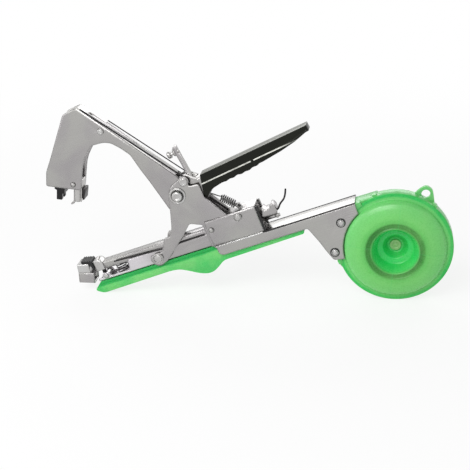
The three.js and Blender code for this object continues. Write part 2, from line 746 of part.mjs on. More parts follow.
const reel = new THREE.Group();
reel.position.set(reelX, 0, reelZ);
arm.add(reel);
piece('reel_case', reelCase(), 'clear', reel);
piece('reel_cover', reelCover(), 'clear', reel);
const headBack = recessFloor - seatGap;
piece('reel_spindle', turned([
  [0, headBack - spindleHeadHeight], [spindleHead * 0.8, headBack - spindleHeadHeight],
  [spindleHead, headBack - spindleHeadHeight * 0.6], [spindleHead, headBack], [spindleRadius, headBack],
  [spindleRadius, caseHalf - caseWall * 2], [0, caseHalf - caseWall * 2],
], 20), 'beige', reel);
const coreInner = hubRadius + seatGap * 1.4;
const tapeInner = coreInner + coreWall + seatGap;
const tapeHalf = tapeWidth / 2;
piece('roll_core', turned([
  [coreInner, -tapeHalf], [coreInner + coreWall, -tapeHalf], [coreInner + coreWall, tapeHalf],
  [coreInner, tapeHalf], [coreInner, -tapeHalf],
], 32), 'beige', reel);
piece('tape_roll', turned([
  [tapeInner, -tapeHalf], [rollRadius, -tapeHalf], [rollRadius, tapeHalf], [tapeInner, tapeHalf],
  [tapeInner, -tapeHalf],
], 40), 'tape', reel);

// Jaw. Its outline is given as shares of jawLength from the main bolt.
const jawShares = [
  [-0.653, 0.976], [-0.574, 0.985], [-0.509, 0.987], [0.071, 0.142], [0.052, 0.086],
];
const jawLowerShares = [
  [-0.045, -0.123], [-0.092, -0.123], [-0.114, -0.107], [-0.124, -0.071], [-0.149, 0.044],
  [-0.181, 0.186], [-0.216, 0.319], [-0.246, 0.464], [-0.303, 0.546], [-0.36, 0.61], [-0.411, 0.635],
  [-0.45, 0.641], [-0.533, 0.647], [-0.581, 0.611], [-0.638, 0.559], [-0.677, 0.51], [-0.733, 0.412],
  [-0.786, 0.313],
];
const jawFrontShares = [
  [-1.064, 0.45], [-1.009, 0.565], [-0.925, 0.658],
];
const jaw = new THREE.Group();
jaw.position.set(mainBoltX, 0, mainBoltZ);
arm.add(jaw);

const pinSpan = Math.hypot(handlePinX - mainBoltX, handlePinZ - mainBoltZ);
const centreLine = Math.atan2(handlePinZ - mainBoltZ, handlePinX - mainBoltX);
const driveFromHandle = pinSpan * driveShare;
const driveTurn = centreLine + Math.PI + handleTravel / 2;
const driveX = handlePinX + driveFromHandle * Math.cos(driveTurn);
const driveZ = handlePinZ + driveFromHandle * Math.sin(driveTurn);

function jawArm() {
  const scaled = (shares) => shares.map(([x, z]) => [x * jawLength, z * jawLength, bendRadius]);
  const boss = [0, 1, 2, 3, 4, 5, 6, 7, 8].map((step) => {
    const angle = Math.PI * (0.3 - (0.9 * step) / 8);
    return [jawBoss * Math.cos(angle), jawBoss * Math.sin(angle)];
  });
  const outline = easedShape([
    ...scaled(jawShares), ...boss, ...scaled(jawLowerShares), ...scaled(jawFrontShares),
  ]);
  outline.holes.push(circlePath(0, 0, mainBoltRadius + pinGap));
  outline.holes.push(circlePath(jawRivetX - mainBoltX, jawRivetZ - mainBoltZ, rivetRadius + pinGap));
  outline.holes.push(circlePath(...headPoint(clipPlace + clipSheet / 2, clipRise), clipPinRadius + pinGap));
  const webTop = [jawShares[2][0] * jawLength, jawShares[2][1] * jawLength];
  const webFoot = [jawShares[3][0] * jawLength, jawShares[3][1] * jawLength];
  const slope = new THREE.Vector2(webFoot[0] - webTop[0], webFoot[1] - webTop[1]).normalize();
  const before = [webTop[0] - slope.x * overrun, webTop[1] - slope.y * overrun];
  const after = [webFoot[0] + slope.x * overrun, webFoot[1] + slope.y * overrun];
  const folded = foldedSheet(outline, before, after, jawLength * 2, baseWidth, jawSheet, -1);
  const clearance = crossBar(
    jawClearRound, jawInner * 2, handlePinX - mainBoltX, handlePinZ - mainBoltZ, 0, 24,
  );
  const slotTurn = Math.atan2(driveZ - mainBoltZ, driveX - mainBoltX);
  const slotHalf = driveRadius + pinGap;
  const slotShape = easedShape([
    [driveStart, -slotHalf, slotHalf], [jawBoss * 2, -slotHalf], [jawBoss * 2, slotHalf],
    [driveStart, slotHalf, slotHalf],
  ]);
  const slot = sidePlate(slotShape, overrun);
  slot.rotateY(-slotTurn);
  const sight = new THREE.CylinderGeometry(webHoleRadius, webHoleRadius, overrun, 16);
  sight.rotateZ(Math.PI / 2);
  sight.rotateY(-Math.PI / 4);
  sight.translate(webTop[0] + slope.x * overrun * 0.3, 0, webTop[1] + slope.y * overrun * 0.3);
  return cut(folded, clearance, slot, sight);
}

// A point of the jaw's head, from its lower front corner: along its lower edge and up from it.
function headPoint(place, rise) {
  const alongX = Math.cos(headTurn);
  const alongZ = Math.sin(headTurn);
  return [
    headX - mainBoltX + place * alongX - rise * alongZ, headZ - mainBoltZ + place * alongZ + rise * alongX,
  ];
}

const head = new THREE.Group();
head.position.set(headX - mainBoltX, 0, headZ - mainBoltZ);
head.rotation.y = -headTurn;
jaw.add(head);

piece('jaw_arm', jawArm(), 'steel', jaw);
const jawRivet = rivet(rivetRadius, jawRivetHead, jawHalf, rivetHeadHeight);
jawRivet.translate(jawRivetX - mainBoltX, 0, jawRivetZ - mainBoltZ);
piece('jaw_rivet', jawRivet, 'steel', jaw);

// Pieces that hang in the jaw's head: a black catch that grips the tape, the anvil that curls the
// staples, the tape cutter and a sprung clip.
function tapeCatch() {
  const half = catchLength / 2;
  const flange = half + catchFlange;
  const outline = easedShape([
    [-half, -catchDrop, catchFlange / 4], [half, -catchDrop, catchFlange / 4], [half, -catchDrop / 2],
    [flange, -catchDrop / 2], [flange, -catchFlange], [flange, catchRoot], [-flange, catchRoot],
    [-flange, -catchFlange], [-half, -catchFlange * 1.5],
  ]);
  const body = sidePlate(outline, catchWidth);
  const slit = block(-overrun, overrun, -catchWidth / 6, catchWidth / 6, -catchDrop * 2, -catchDrop * 0.7);
  return cut(body, slit);
}

function anvil() {
  const half = anvilLength / 2;
  const notch = clipRise - clipEye * anvilNotchShare;
  const outline = easedShape([
    [-half + anvilGroove, -anvilDrop, anvilGroove], [half, -anvilDrop, anvilGroove], [half, anvilRoot],
    [-half + clipEye, anvilRoot], [-half + clipEye, notch], [-half, notch], [-half, -anvilDrop / 2],
  ]);
  const body = sidePlate(outline, catchWidth);
  const curls = [-1, 1].map((side) => curlGroove(side));
  return cut(body, ...curls);
}

// A groove along the anvil's foot in which a staple leg curls over.
function curlGroove(side) {
  const groove = new THREE.CylinderGeometry(anvilGroove, anvilGroove, anvilLength * 2, 12);
  groove.rotateZ(Math.PI / 2);
  groove.translate(0, (side * stapleWidth) / 4, -anvilDrop);
  return groove;
}

// A strip inside the head that the cutter is held against.
function cutterHolder() {
  const half = holderSheet / 2;
  const outline = easedShape([
    [-half, -holderDrop, half], [half * 0.6, -holderDrop, half / 2], [half, -holderDrop * 0.85],
    [half, holderRoot], [-half, holderRoot],
  ]);
  return sidePlate(outline, catchWidth);
}

function cutterBlade() {
  const half = bladeLength / 2;
  const outline = easedShape([
    [-half, -bladeDrop * 0.8], [-half, anvilGroove], [half, anvilGroove], [half, -bladeDrop * 0.3],
    [half * 0.6, -bladeDrop], [-half * 0.2, -bladeDrop],
  ]);
  return sidePlate(outline, catchWidth);
}

function catchClip() {
  const outline = easedShape([
    [-clipHook, -clipDrop, 0], [-clipHook * 0.6, -clipDrop - clipSheet, clipSheet / 2],
    [clipSheet, -clipDrop + clipSheet, clipSheet / 2], [clipSheet, clipRise - clipEye],
    [clipSheet / 2 + clipEye, clipRise, clipEye], [clipSheet / 2, clipRise + clipEye, clipEye],
    [clipSheet / 2 - clipEye, clipRise, clipEye], [0, clipRise - clipEye],
    [0, -clipDrop + clipHook, clipSheet / 2],
  ]);
  outline.holes.push(circlePath(clipSheet / 2, clipRise, clipPinRadius + pinGap));
  return sidePlate(outline, clipWidth);
}

piece('tape_catch', tapeCatch(), 'dark', head).position.x = catchPlace;
piece('anvil', anvil(), 'bright', head).position.x = anvilPlace;
piece('cutter_holder', cutterHolder(), 'bright', head).position.x = holderPlace;
piece('cutter_blade', cutterBlade(), 'dark', head).position.x = bladePlace;
piece('catch_clip', catchClip(), 'bright', head).position.x = clipPlace;
const clipPin = rivet(clipPinRadius, clipPinHead, jawHalf, rivetHeadHeight / 2);
clipPin.translate(clipPlace + clipSheet / 2, 0, clipRise);
piece('clip_pin', clipPin, 'bright', head);

// Handle. Its own frame starts at the handle pin and runs x along the grip.
const handle = new THREE.Group();
handle.position.set(handlePinX, 0, handlePinZ);
handle.rotation.y = -handleTurn;
arm.add(handle);
const driveInHandle = driveTurn - handleTurn;
const leverLowerShares = [
  [0.09, -0.2], [0.118, -0.219], [0.148, -0.2], [0.2, -0.135], [0.4, -0.12], [0.66, -0.11], [0.86, -0.095],
];
function handleLever() {
  const lobe = [0, 1, 2, 3, 4].map((step) => {
    const angle = driveInHandle - Math.PI / 2 + (Math.PI * step) / 4;
    return [
      driveFromHandle * Math.cos(driveInHandle) + driveLobe * Math.cos(angle),
      driveFromHandle * Math.sin(driveInHandle) + driveLobe * Math.sin(angle),
    ];
  });
  const lower = leverLowerShares.map(([x, z]) => [x * leverLength, z * leverLength, bendRadius]);
  const outline = easedShape([
    [-driveLobe, leverTop], ...lobe, ...lower, [leverEnd, leverTop * 2.6, bendRadius], [leverEnd, leverTop],
  ]);
  const folded = foldedSheet(
    outline, [leverEnd + overrun, leverTop], [leverBoss, leverTop], overrun, leverHalf * 2, leverSheet, 1,
  );
  const legShape = easedShape([
    [leverBoss * 2.2, leverTop], [leverBoss * 1.2, leverBoss * 0.5, bendRadius],
    [leverBoss * 0.8, leverBoss, leverBoss],
    [-leverBoss, leverBoss, leverBoss], [-leverBoss, -leverBoss, bendRadius], ...lobe,
    [leverBoss * 1.3, -leverBoss * 2.7], [leverBoss * 2.2, -leverBoss * 2.7],
  ]);
  const legs = [-1, 1].map((side) => sidePlate(legShape, leverSheet, side * (leverHalf - leverSheet / 2)));
  const tabHalf = leverHalf * tabShare;
  const tab = block(tabPlace, tabPlace + tabSheet, -tabHalf, tabHalf, leverTop - leverSheet, tabTop);
  const pinHole = crossBar(handlePinRadius + pinGap, overrun, 0, 0, 0, 16);
  const driveHole = crossBar(
    driveRadius + pinGap / 2, overrun, driveFromHandle * Math.cos(driveInHandle),
    driveFromHandle * Math.sin(driveInHandle), 0, 12,
  );
  const springHole = crossBar(springPinRadius + pinGap, overrun, springPinX, springPinZ, 0, 12);
  const screwBore = stopScrewRadius + pinGap;
  const screwHole = new THREE.CylinderGeometry(screwBore, screwBore, overrun, 14);
  screwHole.rotateZ(Math.PI / 2);
  screwHole.translate(0, 0, stopScrewZ);
  return cut(join(folded, ...legs, tab), pinHole, driveHole, springHole, screwHole);
}

// Grip: dipped skin over the lever, its underside waved for the fingers.
const gripLowerShares = [
  [0.093, -0.199], [0.126, -0.211], [0.158, -0.18], [0.202, -0.164], [0.282, -0.153], [0.36, -0.154],
  [0.441, -0.15], [0.5, -0.154], [0.551, -0.151], [0.669, -0.139], [0.865, -0.12], [1.0, -0.098],
];
function grip() {
  const lower = gripLowerShares.map(([x, z]) => [x * leverLength, z * leverLength, bendRadius]);
  const top = leverTop + seatGap + gripWall;
  const outline = easedShape([
    ...lower, [gripBack - bendRadius, leverTop * 2.4, bendRadius], [gripBack, leverTop * 1.4, bendRadius],
    [gripBack - bendRadius / 2, top, bendRadius], [gripFront, top],
  ]);
  const skin = foldedSheet(
    outline, [gripBack + overrun, top], [-overrun, top], overrun,
    gripHalf * 2, gripWall, 1, bendRadius * 1.6,
  );
  const back = meet(
    sidePlate(outline, gripHalf * 2),
    block(leverEnd + seatGap, gripBack + overrun, -gripHalf, gripHalf, -overrun, top - bendRadius * 0.4),
  );
  return join(skin, back);
}

piece('handle_lever', handleLever(), 'steel', handle);
piece('grip', grip(), 'black', handle);
const driveSpotX = driveFromHandle * Math.cos(driveInHandle);
const driveSpotZ = driveFromHandle * Math.sin(driveInHandle);
piece('drive_pin', crossBar(driveRadius, jawHalf * 2, driveSpotX, driveSpotZ, 0, 12), 'steel', handle);
const springPin = crossBar(springPinRadius, leverHalf * 2, springPinX, springPinZ, 0, 12);
piece('spring_pin', springPin, 'steel', handle);

function nut(flat, height, bore) {
  const shape = new THREE.Shape();
  [0, 1, 2, 3, 4, 5].forEach((corner) => {
    const angle = (Math.PI * corner) / 3;
    const x = (flat / Math.cos(Math.PI / 6)) * Math.cos(angle);
    const y = (flat / Math.cos(Math.PI / 6)) * Math.sin(angle);
    if (corner === 0) shape.moveTo(x, y);
    else shape.lineTo(x, y);
  });
  shape.holes.push(circlePath(0, 0, bore));
  return new THREE.ExtrudeGeometry(shape, { depth: height, bevelEnabled: false, curveSegments: 4 });
}

const stopScrew = turned([
  [0, 0], [stopHeadRadius * 0.8, 0], [stopHeadRadius, stopHeadLength / 4], [stopHeadRadius, stopHeadLength],
  [stopScrewRadius, stopHeadLength], [stopScrewRadius, stopScrewReach + tabSheet * 1.8],
  [0, stopScrewReach + tabSheet * 1.8],
], 16);
stopScrew.rotateZ(-Math.PI / 2);
stopScrew.translate(tabPlace - stopScrewReach, 0, stopScrewZ);
piece('stop_screw', stopScrew, 'bright', handle);
const stopNut = nut(nutFlat, nutHeight, stopScrewRadius + pinGap);
stopNut.rotateY(Math.PI / 2);
stopNut.translate(tabPlace - seatGap - nutHeight, 0, stopScrewZ);
piece('stop_nut', stopNut, 'bright', handle);

// Return spring: an unbroken wire with a loop round the lever's pin, a straight run, close coils
// and a loop round the stud on the box.
function returnSpring() {
  const start = new THREE.Vector2(springPinX, springPinZ).rotateAround(new THREE.Vector2(), handleTurn);
  start.add(new THREE.Vector2(handlePinX, handlePinZ));
  const end = new THREE.Vector2(anchorX, springLevel);
  const along = new THREE.Vector3(end.x - start.x, 0, end.y - start.y);
  const span = along.length();
  along.normalize();
  const rise = new THREE.Vector3(-along.z, 0, along.x);
  const across = new THREE.Vector3(0, 1, 0);
  const first = new THREE.Vector3(start.x, 0, start.y);
  const last = new THREE.Vector3(end.x, 0, end.y);
  const hook = springPinRadius + pinGap + springWire;
  const stud = anchorRadius + pinGap * 2 + springWire;
  const coilLength = springTurns * springPitch;
  const coilEnd = span - stud * 1.5 - springCoil;
  const coilStart = coilEnd - coilLength;
  const points = [];
  const loopSteps = 6;
  for (let step = 0; step < loopSteps; step += 1) {
    const angle = Math.PI * 0.9 - (Math.PI * 1.35 * step) / loopSteps;
    const spot = first.clone().addScaledVector(along, hook * Math.cos(angle));
    points.push(spot.addScaledVector(rise, hook * Math.sin(angle)));
  }
  points.push(first.clone().addScaledVector(along, hook * 1.8).addScaledVector(rise, -hook * 0.4));
  points.push(first.clone().addScaledVector(along, coilStart - springCoil));
  const coilSteps = 8;
  for (let step = 0; step <= springTurns * coilSteps; step += 1) {
    const angle = (2 * Math.PI * step) / coilSteps;
    const ease = Math.min(1, (step + 1) / 3, (springTurns * coilSteps - step + 1) / 3);
    const radius = springCoil * ease;
    const spot = first.clone().addScaledVector(along, coilStart + (springPitch * step) / coilSteps);
    spot.addScaledVector(rise, radius * Math.cos(angle));
    points.push(spot.addScaledVector(across, radius * Math.sin(angle)));
  }
  points.push(last.clone().addScaledVector(along, -stud * 2.2));
  for (let step = 0; step < loopSteps; step += 1) {
    const angle = Math.PI * 0.75 - (Math.PI * 1.35 * step) / loopSteps;
    const spot = last.clone();
    spot.x += stud * Math.cos(angle);
    spot.y = -stud * Math.sin(angle);
    points.push(spot);
  }
  printGap('return_spring', points, springWire, coilSteps);
  return wireTube(points, springWire, 5);
}
piece('return_spring', returnSpring(), 'bright', arm);

// Stud on the box that holds the spring's other end.
const stud = turned([
  [0, -boxSheet * 2], [anchorRadius * 1.7, -boxSheet * 2], [anchorRadius * 1.7, -boxSheet - seatGap],
  [anchorRadius, -boxSheet - seatGap], [anchorRadius, anchorHeight], [anchorHead, anchorHeight],
  [anchorHead, anchorHeight + pinHeadHeight * 0.6], [anchorHead * 0.6, anchorHeight + pinHeadHeight],
  [0, anchorHeight + pinHeadHeight],
], 14);
stud.rotateX(Math.PI / 2);
stud.translate(anchorX, 0, boxHeight);
piece('spring_stud', stud, 'bright', arm);

// Fasteners of the arm and post.
const legRivets = [-1, 1].map((side) => {
  const place = turned([
    [0, 0], [rivetRadius, 0], [rivetRadius, armSheet + postSheet + seatGap * 2],
    [legLobe * 0.7, armSheet + postSheet + seatGap * 2],
    [legLobe * 0.7, armSheet + postSheet + seatGap * 2 + rivetHeadHeight / 3],
    [legLobe * 0.55, armSheet + postSheet + seatGap * 2 + rivetHeadHeight],
    [0, armSheet + postSheet + seatGap * 2 + rivetHeadHeight],
  ], 18);
  if (side < 0) place.rotateX(Math.PI);
  place.translate(legRivetX, side * baseInner, legRivetZ);
  return place;
});
piece('leg_rivet_near', legRivets[0], 'steel', arm);
piece('leg_rivet_far', legRivets[1], 'steel', arm);
const boxRivet = rivet(rivetRadius, boxRivetHead, boxOuter, rivetHeadHeight);
boxRivet.translate(boxRivetX, 0, boxRivetZ);
piece('box_rivet', boxRivet, 'steel', arm);
const tiltRivet = rivet(rivetRadius, boxRivetHead * tiltHeadShare, boxOuter, rivetHeadHeight / 3);
tiltRivet.translate(tiltPinX, 0, tiltPinZ);
piece('magazine_pivot', tiltRivet, 'steel', arm);
const pivotPin = rivet(handlePinRadius, handlePinHead, postOuter, pinHeadHeight);
pivotPin.translate(handlePinX, 0, handlePinZ);
piece('handle_pin', pivotPin, 'bright', arm);

const washerOuter = postOuter + seatGap + washerThickness;
[-1, 1].forEach((side) => {
  const bore = mainBoltRadius + pinGap;
  const ring = turned([
    [bore, -washerThickness / 2], [washerRadius, -washerThickness / 2], [washerRadius, washerThickness / 2],
    [bore, washerThickness / 2], [bore, -washerThickness / 2],
  ]);
  ring.translate(mainBoltX, side * (washerOuter - washerThickness / 2), mainBoltZ);
  piece(side < 0 ? 'washer_near' : 'washer_far', ring, 'bright', arm);
});
const boltEnd = washerOuter + seatGap + nutHeight + seatGap;
const mainBolt = turned([
  [0, -washerOuter - seatGap - boltHeadHeight],
  [boltHeadRadius * 0.6, -washerOuter - seatGap - boltHeadHeight],
  [boltHeadRadius, -washerOuter - seatGap - boltHeadHeight * 0.4], [boltHeadRadius, -washerOuter - seatGap],
  [mainBoltRadius, -washerOuter - seatGap], [mainBoltRadius, boltEnd], [0, boltEnd],
], 20);
mainBolt.translate(mainBoltX, 0, mainBoltZ);
piece('main_bolt', mainBolt, 'bright', arm);
const mainNut = nut(boltHeadRadius, nutHeight, mainBoltRadius + pinGap);
mainNut.rotateX(Math.PI / 2);
mainNut.translate(mainBoltX, washerOuter + seatGap + nutHeight, mainBoltZ);
piece('main_nut', mainNut, 'bright', arm);

[['upper', upperScrewX, upperScrewZ], ['lower', lowerScrewX, lowerScrewZ]].forEach(([name, x, z]) => {
  const screw = rivet(caseScrewRadius, caseScrewHead, boxOuter, rivetHeadHeight);
  screw.translate(x, 0, z);
  piece(`case_screw_${name}`, screw, 'bright', arm);
});

// Magazine, in its own frame at the pin it tilts about.
const magazine = new THREE.Group();
magazine.position.set(tiltPinX, 0, tiltPinZ);
arm.add(magazine);
function magazineChannel() {
  const outline = easedShape([
    [magStart - tiltPinX, magBottom - tiltPinZ], [magEnd - tiltPinX, magBottom - tiltPinZ],
    [magEnd - tiltPinX, magTop - tiltPinZ], [magStart - tiltPinX, magTop - tiltPinZ],
  ]);
  const channel = foldedSheet(
    outline, [magStart - tiltPinX, magBottom - tiltPinZ], [magEnd - tiltPinX, magBottom - tiltPinZ],
    overrun, magHalf * 2, magSheet, 1, magSheet * 1.5,
  );
  const pinHole = crossBar(rivetRadius + pinGap, overrun, 0, 0, 0, 16);
  return cut(channel, pinHole);
}
piece('magazine_channel', magazineChannel(), 'bright', magazine);

const coverInner = magHalf - magSheet - seatGap;
const magazineCover = block(
  magStart - tiltPinX, boxStart - tiltPinX - seatGap * 4, -coverInner, coverInner,
  magTop - tiltPinZ - magCover, magTop - tiltPinZ,
);
piece('magazine_cover', magazineCover, 'bright', magazine);

function magazineNose() {
  const back = magStart - seatGap;
  const front = back - noseLength;
  const outline = easedShape([
    [front - tiltPinX, magBottom - tiltPinZ], [back - tiltPinX, magBottom - tiltPinZ],
    [back - tiltPinX, magTop - tiltPinZ, bendRadius],
    [back - noseLength * 0.35 - tiltPinX, noseTop - tiltPinZ, bendRadius],
    [front - tiltPinX, noseTop - tiltPinZ],
  ]);
  const slotFrom = front + noseLength * 0.45 - tiltPinX;
  const slot = block(
    slotFrom, slotFrom + noseSlot, -stapleWidth / 2 - seatGap, stapleWidth / 2 + seatGap, -overrun, overrun,
  );
  return cut(sidePlate(outline, magHalf * 2), slot);
}
piece('magazine_nose', magazineNose(), 'bright', magazine);

function magazineBlock() {
  const from = magEnd + seatGap - tiltPinX;
  const to = from + blockLength;
  const top = blockTop - tiltPinZ;
  const outline = easedShape([
    [from, blockBottom - tiltPinZ - tabRise * 0.4], [to, blockBottom - tiltPinZ - tabRise * 0.4], [to, top],
    [to - blockLength * 0.1, top + tabRise, bendRadius], [to - blockLength * 0.2, top + tabRise, bendRadius],
    [to - blockLength * 0.3, top], [from + blockLength * 0.4, top],
    [from + blockLength * 0.3, top + tabRise * 0.8, bendRadius / 2], [from + blockLength * 0.2, top],
    [from, top],
  ]);
  const pull = new THREE.CylinderGeometry(pullRadius + pinGap, pullRadius + pinGap, overrun * 2, 10);
  pull.rotateZ(Math.PI / 2);
  pull.translate(from, 0, pullZ - tiltPinZ);
  return cut(sidePlate(outline, magHalf * 2), pull);
}
piece('magazine_block', magazineBlock(), 'steel', magazine);

// A strip of joined staples standing on the channel's floor.
function stapleStrip() {
  const from = magStart + seatGap - tiltPinX;
  const floor = magBottom + magSheet + seatGap - tiltPinZ;
  const half = stapleWidth / 2;
  const outer = block(from, from + stapleLength, -half, half, floor, floor + stapleHeight);
  const inner = block(
    from - overrun, from + overrun * 2, -stapleWidth / 2 + stapleWire, stapleWidth / 2 - stapleWire,
    floor - overrun, floor + stapleHeight - stapleWire,
  );
  return cut(outer, inner);
}
piece('staple_strip', stapleStrip(), 'bright', magazine);

const pusherStart = magStart + stapleLength + seatGap * 2 - tiltPinX;
function staplePusher() {
  const floor = magBottom + magSheet + seatGap - tiltPinZ;
  const outline = easedShape([
    [pusherStart, floor], [pusherStart + pusherLength, floor],
    [pusherStart + pusherLength, floor + stapleHeight / 2],
    [pusherStart + pusherLength * 0.6, floor + stapleHeight], [pusherStart, floor + stapleHeight],
  ]);
  const body = sidePlate(outline, stapleWidth);
  const hole = new THREE.CylinderGeometry(pullRadius + pinGap, pullRadius + pinGap, overrun, 10);
  hole.rotateZ(Math.PI / 2);
  hole.translate(pusherStart + pusherLength / 3 + overrun / 2, 0, pullZ - tiltPinZ);
  return cut(body, hole);
}
piece('staple_pusher', staplePusher(), 'dark', magazine);

// Pull wire: straight through the magazine, then up to a finger hook behind it.
const hookShares = [
  [0, 0], [0.12, 0.1], [0.25, 0.25], [0.42, 0.36], [0.62, 0.46], [0.78, 0.62], [0.9, 0.8], [1, 1],
];
function pullWire() {
  const start = pusherStart + pusherLength / 3 + pinGap;
  const straight = magEnd + blockLength + seatGap * 2 - tiltPinX;
  const level = pullZ - tiltPinZ;
  const points = [new THREE.Vector3(start, 0, level)];
  hookShares.forEach(([x, z]) => points.push(
    new THREE.Vector3(straight + x * hookLength, 0, level + z * hookRise),
  ));
  return wireTube(points, pullRadius, 8);
}
piece('pull_wire', pullWire(), 'dark', magazine);

// Rod under the magazine's end, with a collar.
const rearRod = turned([
  [0, rearRodStart], [rearRodRadius, rearRodStart], [rearRodRadius, rearRodEnd - ringLength * 2],
  [ringRadius, rearRodEnd - ringLength * 2], [ringRadius, rearRodEnd - ringLength],
  [rearRodRadius, rearRodEnd - ringLength], [rearRodRadius, rearRodEnd], [0, rearRodEnd],
], 14);
rearRod.rotateZ(-Math.PI / 2);
rearRod.translate(0, 0, rearRodZ);
piece('rear_rod', rearRod, 'bright', arm);
const holder = block(
  rearRodStart - seatGap, rearRodStart + holderLength,
  -magHalf, magHalf, armSheet + seatGap, rearRodZ + holderRise,
);
const rodBore = rearRodRadius + pinGap;
const holderBore = new THREE.CylinderGeometry(rodBore, rodBore, overrun * 2, 14);
holderBore.rotateZ(Math.PI / 2);
holderBore.translate(rearRodStart + overrun / 2, 0, rearRodZ);
piece('rod_holder', cut(holder, holderBore), 'dark', arm);
const frontRivet = rivet(rivetRadius, lugRadius * 0.9, jawHalf, rivetHeadHeight);
frontRivet.translate(lugX, 0, lugZ);
piece('front_rivet', frontRivet, 'bright', arm);

// Front of the arm: a folded tape guide, its cap, the staple driver and the lift spring.
const guideShares = [
  [-1, 0.745], [-0.94, 0.25], [-0.25, 0], [0, 0], [0, 0.47], [-0.8, 0.74],
];
function frontGuide() {
  const outline = easedShape(guideShares.map(([x, z]) => [x * frontReach - seatGap, z * frontReach]));
  const [left, right] = guideShares.slice(1, 3).map(([x, z]) => [x * frontReach - seatGap, z * frontReach]);
  return foldedSheet(outline, left, right, overrun, baseWidth, frontSheet, 1);
}
piece('front_guide', frontGuide(), 'steel', arm);

const capShares = [
  [-0.74, 0.72], [-0.06, 0.495], [-0.055, 1.05], [-0.46, 1.2], [-0.56, 1.37],
];
const padShares = [
  [-0.44, 1.23], [-0.03, 1.085], [-0.026, 0.6], [0.04, 0.6],
  [0.055, 1.15], [0, 1.23], [-0.4, 1.35], [-0.44, 1.31],
];
function guideCap() {
  const corners = capShares.map(([x, z]) => [x * frontReach - seatGap, z * frontReach + seatGap]);
  const shape = easedShape(corners, frontSheet);
  return foldedSheet(shape, corners[2], corners[3], overrun, baseWidth, blockSheet, 1);
}
piece('guide_cap', guideCap(), 'steel', arm);

// Soft pad over the cap and down its rear edge, which the tape is pressed against.
function tapePad() {
  const corners = padShares.map(([x, z]) => [x * frontReach - seatGap, z * frontReach + seatGap * 2]);
  return sidePlate(easedShape(corners, armSheet / 2), baseWidth * padShare);
}
piece('tape_pad', tapePad(), 'dark', arm);

const bladeX = magStart - seatGap - noseLength * 0.55;
piece('driver_blade', block(
  bladeX + (noseSlot - bladeSheet) / 2, bladeX + (noseSlot + bladeSheet) / 2,
  -stapleWidth / 2, stapleWidth / 2, armSheet + seatGap, strokeTop,
), 'bright', arm);

function liftSpring() {
  const bottom = armSheet + seatGap + liftWire * 2.2;
  const top = magBottom - seatGap - liftWire * 2.2;
  const coilSteps = 8;
  const count = liftTurns * coilSteps;
  const points = [new THREE.Vector3(liftPlace + liftCoil, 0, armSheet + seatGap)];
  for (let step = 0; step <= count; step += 1) {
    const angle = (2 * Math.PI * step) / coilSteps;
    const height = bottom + ((top - bottom) * step) / count;
    points.push(new THREE.Vector3(
      liftPlace + liftCoil * Math.cos(angle), liftCoil * Math.sin(angle), height,
    ));
  }
  points.push(new THREE.Vector3(liftPlace + liftCoil, 0, magBottom - seatGap));
  printGap('lift_spring', points, liftWire, coilSteps);
  return wireTube(points, liftWire, 5);
}
piece('lift_spring', liftSpring(), 'dark', arm);

// The tool stands on the grip's nose and the reel case: its box is centred over the origin.
tool.updateMatrixWorld(true);
const bounds = new THREE.Box3().setFromObject(tool, true);
tool.position.set(-(bounds.min.x + bounds.max.x) / 2, -(bounds.min.y + bounds.max.y) / 2, -bounds.min.z);
tool.updateMatrixWorld(true);

const pivots = [['main bolt', jaw], ['handle pin', handle], ['magazine pin', magazine], ['reel', reel]];
pivots.forEach(([name, group]) => {
  const place = group.getWorldPosition(new THREE.Vector3());
  console.log(`${name}: ${place.toArray().map((value) => value.toFixed(3)).join(', ')}`);
});
const overall = bounds.getSize(new THREE.Vector3()).toArray().map((value) => value.toFixed(2));
console.log(`size: ${overall.join(' x ')}`);

export default tool;
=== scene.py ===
import math
import bmesh
import bpy
import numpy as np
from mathutils import Matrix, Vector


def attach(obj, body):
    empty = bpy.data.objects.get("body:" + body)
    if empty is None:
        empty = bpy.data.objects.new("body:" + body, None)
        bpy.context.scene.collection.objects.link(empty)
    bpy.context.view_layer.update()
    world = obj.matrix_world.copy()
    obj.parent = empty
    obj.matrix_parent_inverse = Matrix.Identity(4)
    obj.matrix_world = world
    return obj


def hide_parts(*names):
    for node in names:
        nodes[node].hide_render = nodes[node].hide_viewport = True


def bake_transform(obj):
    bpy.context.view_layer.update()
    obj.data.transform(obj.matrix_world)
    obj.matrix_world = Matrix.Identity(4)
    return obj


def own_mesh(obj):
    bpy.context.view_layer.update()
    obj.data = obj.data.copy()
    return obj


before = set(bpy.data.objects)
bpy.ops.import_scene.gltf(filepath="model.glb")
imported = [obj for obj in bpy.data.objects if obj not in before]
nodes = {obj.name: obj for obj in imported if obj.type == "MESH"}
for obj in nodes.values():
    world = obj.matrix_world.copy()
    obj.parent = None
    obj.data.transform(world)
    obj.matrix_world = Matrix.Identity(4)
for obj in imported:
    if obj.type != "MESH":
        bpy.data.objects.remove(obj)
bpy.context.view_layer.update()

scene = bpy.context.scene
scene.view_settings.view_transform = "Standard"
print("frame loaded:", len(nodes), "nodes")

mm = 0.001  # sizes are in millimetres, apart from those of the camera, the stage and the lamps
armSlope = math.radians(19.26)  # the lower arm leans this much as the tool lies on a table
armStart = np.array([-133.919, 2.45, 9.544])  # where the arm's own zero lies in the object's frame
handleTurn = math.radians(6.3)  # how much further the open lever leans
handlePin = np.array([108.8045, 0, 62.8])  # in arm measures: along, across, up
mainBolt = np.array([99.2045, 0, 52.8])
caseScrews = {"Upper": (221.889, -13.384), "Lower": (208.218, -36.997)}  # along and up
reelCentre = np.array([257.022, 0, -49.282])
gripJoint = 61.0  # along the handle, where a short tab crosses the grip's ledge

